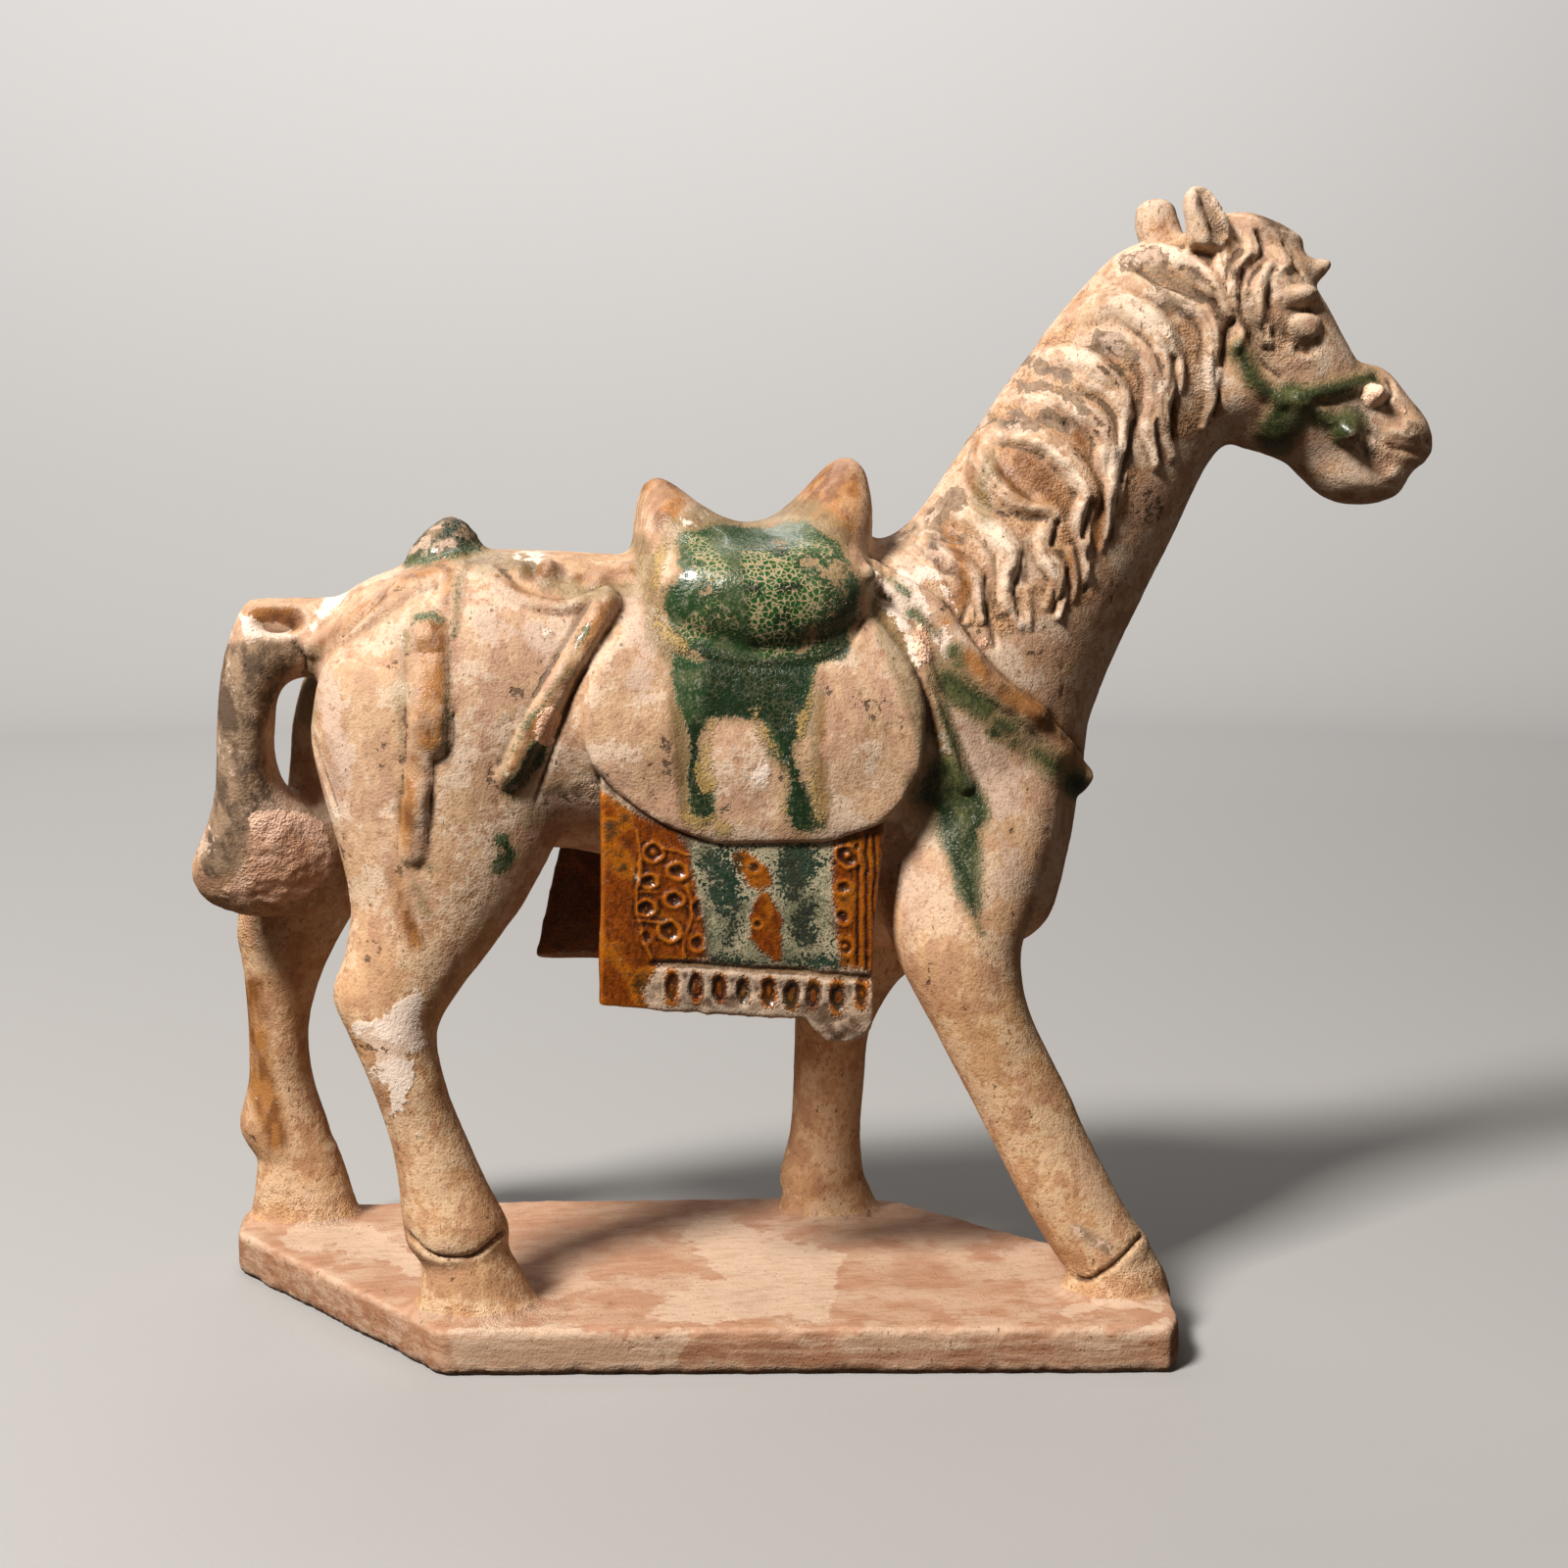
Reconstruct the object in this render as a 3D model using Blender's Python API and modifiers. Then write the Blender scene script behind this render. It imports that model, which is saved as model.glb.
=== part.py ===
"""A glazed pottery horse, saddled and standing on its clay slab, modelled as the one fired piece it is."""

import math

import bmesh
import bpy
import numpy as np

# Driving dimensions, in metres: the slab's thickness, and the horse from the slab's top to its ear tips.
SLAB_THICKNESS = 0.014
HORSE_HEIGHT = 0.331
SLAB_EDGE_ROUND = 0.0016

# Surface fineness, in metres, and the triangles left on the finished horse.
CLAY_GRAIN = 0.0016
HORSE_TRIANGLES = 9300
SAME_CORNER = 0.00002
EDGE_SEGMENTS = 2

# Rounds of easing: the forms worked into one body, the added clay's joins, and the relief's sides.
BODY_EASING = 14
JOIN_EASING = 3
RELIEF_EASING = 1

# How far finer faces are favoured on the head and mane, which start here in drawn units.
CARVING_CARE = 0.003
CARVED_SHARE = 0.5
CARVING_FROM_X = 62
CARVING_FROM_Z = 205

# The horse is drawn in shares of its height: one unit is a millimetre at the height above. x runs from tail
# to nose, z up from DRAWN_GROUND, where the hooves stand, and y from the near side, which is negative.
DRAWN_GROUND = 14
DRAWN_TOP = 345
UNIT = HORSE_HEIGHT / (DRAWN_TOP - DRAWN_GROUND)

RING = 32
STEPS = 5

# Each body form is a run of sections: front or upper edge (x, z), rear or lower edge (x, z), half width and
# middle y.
TRUNK = [
    ((-117, 211), (-115, 170), 14, 0),
    ((-108, 223), (-104, 152), 29, 0),
    ((-92, 230.5), (-88, 146), 38, 0),
    ((-70, 235), (-66, 144), 42, 0),
    ((-42, 234.5), (-42, 144), 41, 0),
    ((-15, 233), (-15, 136), 41, 0),
    ((15, 233), (18, 124), 42, 0),
    ((42, 235), (50, 112), 42, 0),
    ((62, 238), (76, 108), 40, 0),
    ((85, 222), (96, 111), 36, 0),
    ((103, 202), (106, 120), 28, 0),
    ((114, 176), (111, 140), 17, 0),
]
NECK = [
    ((40, 226), (105, 124), 34, 0),
    ((54, 236), (115.5, 155), 33, 0),
    ((64, 244.5), (120, 182), 29, 0),
    ((76, 261), (128.5, 204), 26, 0),
    ((88.7, 279.8), (138, 223), 23, 0),
    ((103.2, 298.8), (147, 241), 20.5, 0),
    ((115.5, 314), (155.5, 258), 18, 0),
    ((126.5, 325), (163, 267), 16, 0),
    ((138.5, 330.5), (171, 269), 14, 0),
]
HEAD = [
    ((135, 322), (158, 276), 13, 0),
    ((148.5, 332), (166, 267), 16.5, 0),
    ((162, 335), (176, 264), 18.5, 0),
    ((176.5, 329.5), (184, 261), 18.5, 0),
    ((189.5, 315.5), (190, 257), 16.5, 0),
    ((197.5, 303), (198, 253), 14.5, 0),
    ((203.5, 293.5), (205, 252), 13, 0),
    ((207.5, 292.6), (210, 253), 12.5, 0),
    ((213.5, 290.5), (214, 255), 12.5, 0),
    ((220.5, 282.5), (219, 258), 12, 0),
    ((227, 275), (224, 259), 10, 0),
    ((229.5, 267), (227.5, 261), 6, 0),
]
CHIN = [
    ((184, 270), (187, 258), 9, 0),
    ((196, 268), (197, 249.5), 12, 0),
    ((208, 266), (208, 248), 12, 0),
    ((217, 264), (217, 250), 10, 0),
    ((221.5, 259), (220.5, 253), 6, 0),
]
NEAR_FORELEG = [
    ((106, 176), (56, 176), 11, -24),
    ((104, 152), (50, 152), 16, -28),
    ((97, 132), (48, 132), 17.5, -33),
    ((90, 117), (51, 118), 16.5, -38),
    ((90.5, 103), (57.5, 103), 15, -41),
    ((94.5, 92), (65, 89), 13.5, -43),
    ((102, 76), (74, 72), 12.5, -45),
    ((110, 59), (81, 57), 12, -47),
    ((116.5, 46), (88, 43), 12.5, -49),
    ((122, 36), (94.5, 31.5), 13.5, -50),
    ((127.5, 28.5), (100.5, 22.5), 13.5, -51),
    ((126, 25), (104, 18), 11.5, -52),
]
NEAR_FOREHOOF = [
    ((127.5, 27), (102, 18), 11.5, -52),
    ((132.5, 18), (101, 13), 14, -52),
    ((134.5, 8), (99, 6), 15.5, -52),
]
FAR_FORELEG = [
    ((110, 176), (56, 176), 11, 24),
    ((113, 150), (52, 150), 15, 27),
    ((112.5, 130), (46, 132), 16, 30),
    ((104, 111), (40, 114), 15, 34),
    ((72, 96), (34, 98), 13.5, 38),
    ((59, 78), (33, 79), 12, 41),
    ((56.5, 58), (32.5, 58), 11.5, 42),
    ((55, 40), (31.5, 40), 12, 42),
    ((56, 27), (28, 26), 13.5, 42),
    ((56.5, 21), (29, 19), 12, 42),
]
FAR_FOREHOOF = [
    ((57, 24), (29, 22), 11.5, 41),
    ((61, 16), (28, 15), 13, 41),
    ((67, 6), (27, 6), 14, 41),
]
NEAR_HINDLEG = [
    ((-52, 208), (-108, 210), 12, -20),
    ((-46, 195), (-116, 200), 20, -22),
    ((-43, 175), (-119, 184), 21, -24),
    ((-46, 155), (-116.5, 168), 20, -26),
    ((-55, 137), (-111.5, 150), 17.5, -29),
    ((-63, 125), (-108.5, 134), 15, -31),
    ((-74, 111), (-110, 119), 13, -33),
    ((-82.5, 99), (-114, 107.5), 12, -35),
    ((-83.5, 88), (-109, 94.5), 11.5, -36),
    ((-80, 75), (-103.5, 81), 11, -37),
    ((-74.5, 61), (-98.8, 66.5), 11, -37),
    ((-68.5, 48), (-96, 52.5), 12, -38),
    ((-64, 38.5), (-95, 40), 13.5, -39),
    ((-64, 32.5), (-94, 33), 13.5, -39),
    ((-67, 29), (-90, 28.5), 11, -40),
]
NEAR_HINDHOOF = [
    ((-64.5, 31.5), (-88.5, 31), 11, -40),
    ((-61, 25), (-90, 22), 13, -40),
    ((-52, 8), (-93, 6), 15.5, -40),
]
FAR_HINDLEG = [
    ((-52, 208), (-108, 210), 12, 20),
    ((-52, 195), (-121, 199), 20, 22),
    ((-58, 176), (-126, 186), 20, 24),
    ((-70, 156), (-128.5, 168), 18, 28),
    ((-88, 138), (-132, 148), 15, 35),
    ((-102, 126), (-140, 131), 13, 43),
    ((-112, 114), (-147.5, 115), 12, 50),
    ((-120, 98), (-146.3, 98), 11, 54),
    ((-125.5, 80), (-145.3, 81), 10, 56),
    ((-125, 62), (-145.5, 62), 10.5, 58),
    ((-120.5, 46), (-149, 45), 11.5, 58),
    ((-117, 35), (-144, 35), 11.5, 58),
]
FAR_HINDHOOF = [
    ((-117, 38), (-143, 37), 10.5, 58),
    ((-112, 20), (-145.5, 20), 12.5, 58),
    ((-107, 6), (-148, 6), 14, 58),
]
TAIL = [
    ((-104, 222), (-104, 199), 8, 0),
    ((-114, 221), (-114, 198), 9.5, 0),
    ((-126, 221), (-121, 197), 10, 0),
    ((-138, 220), (-127, 195), 10.5, 0),
    ((-144, 208), (-129.5, 190), 11, 2),
    ((-147, 195), (-130.5, 184), 11, 4),
    ((-148.5, 180), (-131, 174), 11, 7),
    ((-149.5, 163), (-128, 163), 12, 11),
    ((-154, 148), (-118, 152), 13, 15),
    ((-158.5, 136), (-110, 140), 14, 20),
    ((-154, 126), (-111, 127), 12, 24),
    ((-143, 120.5), (-118, 121), 7, 27),
]
SADDLE_SEAT = [
    ((-22, 238), (-21.5, 224), 16, 0),
    ((-20.8, 250), (-20, 214), 24, 0),
    ((-18.3, 255.8), (-17, 207), 28, 0),
    ((-13.8, 256.7), (-12, 203), 31, 0),
    ((-9.4, 254.3), (-6, 201), 34, 0),
    ((-1.9, 248.4), (2, 200), 38, 0),
    ((7, 243.9), (9, 200), 41, 0),
    ((14.6, 243.3), (16, 200), 41, 0),
    ((23.6, 246.9), (24, 200), 39, 0),
    ((32.7, 255.8), (32, 201), 35, 0),
    ((38.8, 261.7), (38, 205), 31, 0),
    ((44.2, 262.6), (42.5, 211), 28, 0),
    ((48, 258), (46, 220), 23, 0),
    ((49, 248), (47.5, 230), 15, 0),
]
SADDLE_SKIRT = [
    ((-20.5, 231), (-20.5, 220), 33, 0),
    ((-18.5, 236), (-18, 211), 38, 0),
    ((-12, 240), (-12, 204), 43, 0),
    ((0, 241.5), (1, 199.5), 46.5, 0),
    ((10, 241), (10, 197.5), 48, 0),
    ((20, 241.5), (20, 198), 48, 0),
    ((31, 242), (31, 200.5), 46.5, 0),
    ((39, 240), (39, 206.5), 43, 0),
    ((43.5, 236), (43.5, 213), 38.5, 0),
    ((45.5, 230), (45.5, 221), 33, 0),
]
FLAP = [
    ((30, 150.5), (-3, 151), 2.8, -46.5),
    ((45, 156), (-17, 156.5), 3.8, -46.5),
    ((53, 163.5), (-28, 163), 4, -46),
    ((57.5, 172), (-37, 172), 4, -45.5),
    ((59, 183), (-41, 183), 4, -44.5),
    ((58.5, 194), (-40.5, 194), 4, -43),
    ((54, 204), (-36, 205), 4, -40),
    ((48, 213), (-28, 213.5), 4, -36),
    ((42, 220), (-20, 220), 3.5, -31),
]
NEAR_CLOTH = [
    ((48, 172), (-36, 172), 3, -42.5),
    ((47.5, 156), (-36.3, 160), 3, -44.5),
    ((44.5, 128), (-36.8, 130), 3, -45.5),
    ((43.5, 106), (-37.3, 109), 3, -45.5),
    ((43, 97.5), (-37.4, 104), 3, -45.5),
]
FAR_CLOTH = [
    ((48, 172), (-36, 172), 3, 42.5),
    ((47.5, 156), (-38.5, 158), 3, 43.5),
    ((44.5, 128), (-46, 130), 3, 43.5),
    ((43.5, 106), (-51, 108), 3, 43),
    ((43, 98), (-52.5, 101.5), 3, 43),
]
# The cloth's front corner droops below its hem.
CLOTH_CORNER = [
    ((43.3, 106), (20, 106), 3.2, -45.5),
    ((43, 98), (24, 98), 3.2, -45.5),
    ((41, 94), (27, 94.5), 3, -45.5),
    ((37, 91.8), (30, 92), 2.5, -45.5),
]
NEAR_EAR = [
    ((160, 328), (145, 326), 5, -12),
    ((157.5, 334), (144.5, 333), 4.8, -12.5),
    ((155, 340), (143.3, 339.5), 4, -12.5),
    ((151.5, 344.3), (145.5, 344), 2.6, -12.5),
]
FAR_EAR = [
    ((154, 328), (139, 325), 5, 12),
    ((151, 335), (136.5, 333), 5.5, 13),
    ((149, 341), (136.5, 339.5), 5.2, 13),
    ((145.5, 343.5), (139.5, 343), 3.2, 13),
]
UPPER_TUFT = [
    ((156, 337), (158, 328), 9, 0),
    ((167, 338), (165, 327), 10.5, -1),
    ((176, 335.5), (172, 325), 10, -1),
    ((183, 332), (178, 325), 7.5, -1),
    ((186.5, 329.5), (184.5, 325.5), 3.5, -1),
]
LOWER_TUFT = [
    ((176, 331), (171, 320), 10, -1),
    ((183.5, 327), (178, 316), 9, -2),
    ((188.5, 324), (184.5, 315), 6, -3),
    ((193.5, 324.3), (191, 317.5), 4, -3),
    ((195.3, 323), (194, 320.5), 2, -3),
]
# A pointed boss stands on the croup, where the harness straps meet.
BOSS = [
    ((-66, 229), (-91, 229), 13, 0),
    ((-67.5, 235), (-90, 235), 12, 0),
    ((-71, 240.5), (-85, 240.5), 8, 0),
    ((-75.5, 245), (-79, 245), 2.5, 0),
]
BODY_FORMS = {
    "trunk": TRUNK,
    "neck": NECK,
    "head": HEAD,
    "chin": CHIN,
    "near foreleg": NEAR_FORELEG,
    "far foreleg": FAR_FORELEG,
    "near hindleg": NEAR_HINDLEG,
    "far hindleg": FAR_HINDLEG,
    "tail": TAIL,
    "seat": SADDLE_SEAT,
    "skirt": SADDLE_SKIRT,
}
ADDED_FORMS = {
    "cloth corner": CLOTH_CORNER,
    "near cloth": NEAR_CLOTH,
    "far cloth": FAR_CLOTH,
    "near flap": FLAP,
    "far flap": [(front, rear, half, -y) for front, rear, half, y in FLAP],
    "near ear": NEAR_EAR,
    "far ear": FAR_EAR,
    "upper tuft": UPPER_TUFT,
    "lower tuft": LOWER_TUFT,
    "near forehoof": NEAR_FOREHOOF,
    "far forehoof": FAR_FOREHOOF,
    "near hindhoof": NEAR_HINDHOOF,
    "far hindhoof": FAR_HINDHOOF,
    "boss": BOSS,
}
# 2 is an ellipse, more is squarer: the flaps and cloths are flat plates.
SQUARENESS = {"trunk": 2.3, "head": 2.3, "skirt": 2.5}
PLATES = ("near flap", "far flap", "near cloth", "far cloth", "cloth corner")
PLATE_SQUARENESS = 9

# Ridges drawn on the side of the horse: half width, height, profile and points (x, z). A minus height cuts
# a groove.
ROUND, FLAT = "round", "flat"
MANE = [
    (2.7, 3.2, ROUND, [(64, 240), (66, 236), (70, 233), (75, 229), (78, 225), (79, 219), (79, 214)]),
    (4.0, 3.0, ROUND, [(70, 249), (77, 245), (84, 240), (88, 234), (88, 227), (87, 220), (91, 213)]),
    (3.4, 3.4, ROUND, [(90, 272), (83, 268), (82, 261), (85, 254), (91, 249), (99, 247)]),
    (
        3.8,
        3.4,
        ROUND,
        [(86, 271), (95, 270), (104, 264), (110, 257), (113, 251), (110, 243), (112, 234), (113, 226)],
    ),
    (3.0, 3.0, ROUND, [(98, 249), (102, 244), (99, 239), (99, 233), (103, 228), (104, 221), (103, 215)]),
    (3.8, 3.0, ROUND, [(98, 279), (107, 278), (115, 274), (119, 267), (118, 259), (120, 251), (119, 239)]),
    (2.8, 3.2, ROUND, [(112, 286), (120, 282), (125, 274), (123, 264), (122, 254), (120, 240)]),
    (3.6, 3.0, ROUND, [(99, 292), (109, 293), (118, 288), (124, 280), (126, 271)]),
    (3.2, 2.4, ROUND, [(90, 282), (99, 281), (109, 277), (116, 270)]),
    (
        4.6,
        3.4,
        ROUND,
        [(112, 306), (123, 310), (132, 305), (138, 296), (139, 286), (136, 278), (138, 270), (141, 263)],
    ),
    (3.4, 2.6, ROUND, [(114, 299), (126, 297), (133, 289), (134, 279), (132, 272), (135, 260)]),
    (3.6, 3.2, ROUND, [(128, 322), (134, 325), (142, 323), (149, 318), (154, 312), (158, 305)]),
    (
        3.2,
        2.8,
        ROUND,
        [(126, 318), (132, 314), (140, 311), (149, 307), (153, 300), (153, 290), (153, 280), (151, 272)],
    ),
    (2.6, 2.6, ROUND, [(151, 328), (156, 324), (155, 317), (158, 311), (162, 305)]),
    (3.0, 2.8, ROUND, [(157, 334), (165, 330), (165, 323), (160, 317), (161, 310), (165, 303), (168, 297)]),
    (3.0, 2.6, ROUND, [(166, 334), (173, 328), (176, 322), (170, 318), (166, 311), (169, 304), (170, 297)]),
    (2.4, 2.0, ROUND, [(77, 270), (79, 262), (83, 252), (90, 245)]),
]
STRAPS = [
    (3.4, 1.8, FLAT, [(-118, 207), (-101, 218), (-90, 226), (-76, 232)]),
    (2.4, 1.4, FLAT, [(-76, 231), (-77, 222), (-79, 212)]),
    (1.6, 1.2, ROUND, [(-79, 216), (-79.5, 197), (-80, 168), (-81, 142)]),
    (5.2, 3.0, FLAT, [(-84.5, 213), (-84.8, 182)]),
    (3.4, 2.4, FLAT, [(-87, 180), (-90, 150)]),
    (3.6, 3.4, FLAT, [(-33, 220), (-42, 206), (-50, 193), (-58, 179), (-62, 171)]),
    (1.6, 1.4, ROUND, [(-66, 229), (-58, 222), (-46, 219), (-35, 222)]),
    (3.4, 2.6, FLAT, [(45, 229), (64, 217), (72, 206), (82, 194), (95, 185), (108, 172), (115, 162)]),
    (2.6, 2.0, FLAT, [(48, 218), (57, 208), (62.5, 193), (66, 181), (72, 166)]),
]
BRIDLE = [
    (3.2, 2.6, ROUND, [(161, 297), (164, 292), (168, 285), (176, 282)]),
    (4.6, 3.4, ROUND, [(176, 283), (183, 280), (178, 273), (172, 268)]),
    (2.7, 2.8, ROUND, [(184, 281), (190, 284), (198, 286), (206, 288), (212, 291)]),
    (2.8, 2.4, ROUND, [(184, 279), (190, 274), (196, 271), (202, 276), (207, 280)]),
]
FACE_LINES = [
    (1.3, -1.8, ROUND, [(205, 270), (213, 266), (223, 264), (231, 262)]),
    (1.5, -1.8, ROUND, [(174, 310), (178, 308), (184, 307), (188, 308)]),
]
# Bumps and hollows: middle (x, z), half sizes (x, z), height.
BOSSES = [
    ((180, 301), (11, 10), -2.2),
    ((181.5, 303), (5.8, 4.8), 5.4),
    ((186.5, 297.5), (3.6, 4), -1.6),
    ((182, 312), (7.4, 4.2), 3.4),
    ((160, 281), (13, 12), 2.4),
    ((166, 265), (7, 4), 1.4),
    ((196.5, 270.5), (4.4, 4.2), 4.0),
    ((205.5, 282), (4.4, 4.2), 4.2),
    ((219, 272), (8, 7), 1.6),
    ((226, 268), (2.6, 2.2), -1.6),
    ((95, 186), (7, 5.5), 2.6),
    ((113, 164), (5, 7), 2.6),
    ((-57.5, 229), (4, 3.4), 2.2),
    ((-49, 228.5), (5, 4.2), 3.4),
    ((-35, 226), (5, 3.6), 2.4),
    ((-26, 229), (4.6, 4), 2.4),
]
# The tail's root is a torn loop, open on the near side; its hollow is there only.
TAIL_HOLLOW = ((-128.5, 214), (9.5, 5.4), -6.5)
EAR_HOLLOW = (2.4, -2.4, ROUND, [(149.5, 343), (152.5, 337), (154.5, 330)])

# Fading of the relief where the side turns away, as the share of the surface's normal along y.
SIDE_FADE = (0.2, 0.55)
FLAT_EDGE = 0.4

# The slab's corners, each placed in metres from the middle of a hoof.
HOOVES = {"near fore": (118, -52), "far fore": (47, 41), "near hind": (-72, -40), "far hind": (-128, 58)}
SLAB_CORNERS = [
    ("near hind", -0.013, -0.021),
    ("near fore", 0.006, -0.036),
    ("near fore", 0.011, -0.027),
    ("near fore", 0.0175, 0.012),
    ("far fore", 0.020, 0.010),
    ("far fore", 0.004, 0.018),
    ("far fore", -0.020, 0.017),
    ("far hind", 0.020, 0.013),
    ("far hind", -0.004, 0.018),
    ("far hind", -0.022, 0.006),
    ("far hind", -0.021, -0.016),
]

CLAY_COLOUR = (0.62, 0.42, 0.29, 1)
CLAY_ROUGHNESS = 0.6


def clear_scene():
    for old in list(bpy.data.objects):
        bpy.data.objects.remove(old, do_unlink=True)


def collection(name):
    made = bpy.data.collections.new(name)
    bpy.context.scene.collection.children.link(made)
    return made


def add_object(name, mesh, home):
    made = bpy.data.objects.new(name, mesh)
    home.objects.link(made)
    return made


def spline(rows, steps):
    """Points on a smooth curve through rows of numbers, with steps pieces to each gap."""
    rows = np.asarray(rows, float)
    padded = np.vstack([2 * rows[0] - rows[1], rows, 2 * rows[-1] - rows[-2]])
    out = []
    for a, b, c, d in zip(padded, padded[1:], padded[2:], padded[3:]):
        for k in range(steps):
            t = k / steps
            slope = 0.5 * t * (c - a)
            bend = t**2 * (a - 2.5 * b + 2 * c - 0.5 * d)
            twist = t**3 * (-0.5 * a + 1.5 * b - 1.5 * c + 0.5 * d)
            out.append(b + slope + bend + twist)
    out.append(rows[-1])
    return np.array(out)


def placed(points):
    """Drawn points (x, y, z) at their real place, standing on the slab."""
    points = np.asarray(points, float)
    return (points - [0, 0, DRAWN_GROUND]) * UNIT + [0, 0, SLAB_THICKNESS]


def drawn(points):
    return (points - [0, 0, SLAB_THICKNESS]) / UNIT + [0, 0, DRAWN_GROUND]


def loft(bm, sections, squareness):
    """Add one closed form through rounded sections, each running from one edge of the outline to the other."""
    rows = spline([[*front, *rear, half, y] for front, rear, half, y in sections], STEPS)
    turns = np.arange(RING) * 2 * math.pi / RING
    along = np.sign(np.cos(turns)) * np.abs(np.cos(turns)) ** (2 / squareness) / 2
    across = np.sign(np.sin(turns)) * np.abs(np.sin(turns)) ** (2 / squareness)
    rings = []
    for x0, z0, x1, z1, half, y in rows:
        ring = np.column_stack(
            [
                (x0 + x1) / 2 + (x0 - x1) * along,
                y + half * across,
                (z0 + z1) / 2 + (z0 - z1) * along,
            ]
        )
        rings.append([bm.verts.new(point) for point in placed(ring)])
    faces = []
    for low, high in zip(rings, rings[1:]):
        faces += [bm.faces.new((low[k - 1], low[k], high[k], high[k - 1])) for k in range(RING)]
    faces += [bm.faces.new(rings[0]), bm.faces.new(rings[-1])]
    bmesh.ops.recalc_face_normals(bm, faces=faces)


def lofted(name, forms, home):
    bm = bmesh.new()
    for form, sections in forms.items():
        plain = PLATE_SQUARENESS if form in PLATES else 2
        loft(bm, sections, SQUARENESS.get(form, plain))
    mesh = bpy.data.meshes.new(name)
    bm.to_mesh(mesh)
    bm.free()
    return add_object(name, mesh, home)


def merged(source, grain):
    """One skin round everything in the object, as a mesh of even cells."""
    remesh = source.modifiers.new("one skin", "REMESH")
    remesh.mode = "VOXEL"
    remesh.voxel_size = grain
    mesh = bpy.data.meshes.new_from_object(source.evaluated_get(bpy.context.evaluated_depsgraph_get()))
    source.modifiers.remove(remesh)
    return mesh


def read_points(mesh):
    points = np.empty(len(mesh.vertices) * 3)
    mesh.vertices.foreach_get("co", points)
    return points.reshape(-1, 3)


def write_points(mesh, points):
    mesh.vertices.foreach_set("co", points.ravel())
    mesh.update()


def read_normals(mesh):
    normals = np.empty(len(mesh.vertices) * 3)
    mesh.vertices.foreach_get("normal", normals)
    return normals.reshape(-1, 3)


def read_edges(mesh):
    edges = np.empty(len(mesh.edges) * 2, int)
    mesh.edges.foreach_get("vertices", edges)
    return edges.reshape(-1, 2)


def smooth(mesh, rounds, hollows_only):
    """Ease the surface towards its neighbours' middle, or only outwards, which fills the creases with clay."""
    edges = read_edges(mesh)
    count = len(mesh.vertices)
    ends = np.concatenate([edges[:, 0], edges[:, 1]])
    others = np.concatenate([edges[:, 1], edges[:, 0]])
    share = np.bincount(ends, minlength=count)[:, None]
    for _ in range(rounds):
        points = read_points(mesh)
        middle = np.column_stack([np.bincount(ends, points[others, i], count) for i in range(3)]) / share
        pull = middle - points
        if hollows_only:
            pull *= (np.einsum("ij,ij->i", pull, read_normals(mesh)) > 0)[:, None]
        write_points(mesh, points + pull / 2)


def ramp(value, low, high):
    t = np.clip((value - low) / (high - low), 0, 1)
    return t * t * (3 - 2 * t)


def ridge_height(x, z, ridge):
    """Height of one ridge over the drawn points x, z; its line is smooth and it thins to its ends."""
    half, height, profile, points = ridge
    line = spline(points, STEPS)
    best = np.full(len(x), np.inf)
    near = np.flatnonzero(
        (x > line[:, 0].min() - half)
        & (x < line[:, 0].max() + half)
        & (z > line[:, 1].min() - half)
        & (z < line[:, 1].max() + half)
    )
    for (x0, z0), (x1, z1) in zip(line, line[1:]):
        run = (x1 - x0) ** 2 + (z1 - z0) ** 2
        t = np.clip(((x[near] - x0) * (x1 - x0) + (z[near] - z0) * (z1 - z0)) / run, 0, 1)
        gap = np.hypot(x[near] - x0 - t * (x1 - x0), z[near] - z0 - t * (z1 - z0))
        best[near] = np.minimum(best[near], gap)
    inside = np.clip(1 - best / half, 0, 1)
    if profile == FLAT:
        return height * ramp(inside, 0, FLAT_EDGE)
    return height * np.sqrt(inside * (2 - inside))


def bump_height(x, z, bump):
    (middle_x, middle_z), (half_x, half_z), height = bump
    reach = np.hypot((x - middle_x) / half_x, (z - middle_z) / half_z)
    return height * ramp(1 - reach, 0, 1)


def add_relief(mesh):
    """Raise the mane, harness, bridle and face on both sides, and hollow the tail's root and the near ear."""
    points = read_points(mesh)
    normals = read_normals(mesh)
    x, y, z = drawn(points).T
    side = np.where(y < 0, -1, 1)
    facing = ramp(normals[:, 1] * side, *SIDE_FADE)
    raised = np.zeros(len(x))
    for ridge in MANE + STRAPS + BRIDLE:
        raised = np.maximum(raised, ridge_height(x, z, ridge))
    for ridge in FACE_LINES:
        raised += ridge_height(x, z, ridge)
    for bump in BOSSES:
        raised += bump_height(x, z, bump)
    near_only = bump_height(x, z, TAIL_HOLLOW) + ridge_height(x, z, EAR_HOLLOW)
    raised += np.where(y < 0, near_only, 0)
    write_points(mesh, points + normals * (raised * facing * UNIT)[:, None])


def mark_plain_places(horse):
    """A vertex group that is full on the plain body and low on the carved head and mane."""
    x, _, z = drawn(read_points(horse.data)).T
    carved = (x > CARVING_FROM_X) & (z > CARVING_FROM_Z)
    group = horse.vertex_groups.new(name="plain places")
    group.add([int(i) for i in np.flatnonzero(~carved)], 1, "REPLACE")
    group.add([int(i) for i in np.flatnonzero(carved)], CARVED_SHARE, "REPLACE")
    return group.name


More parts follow.
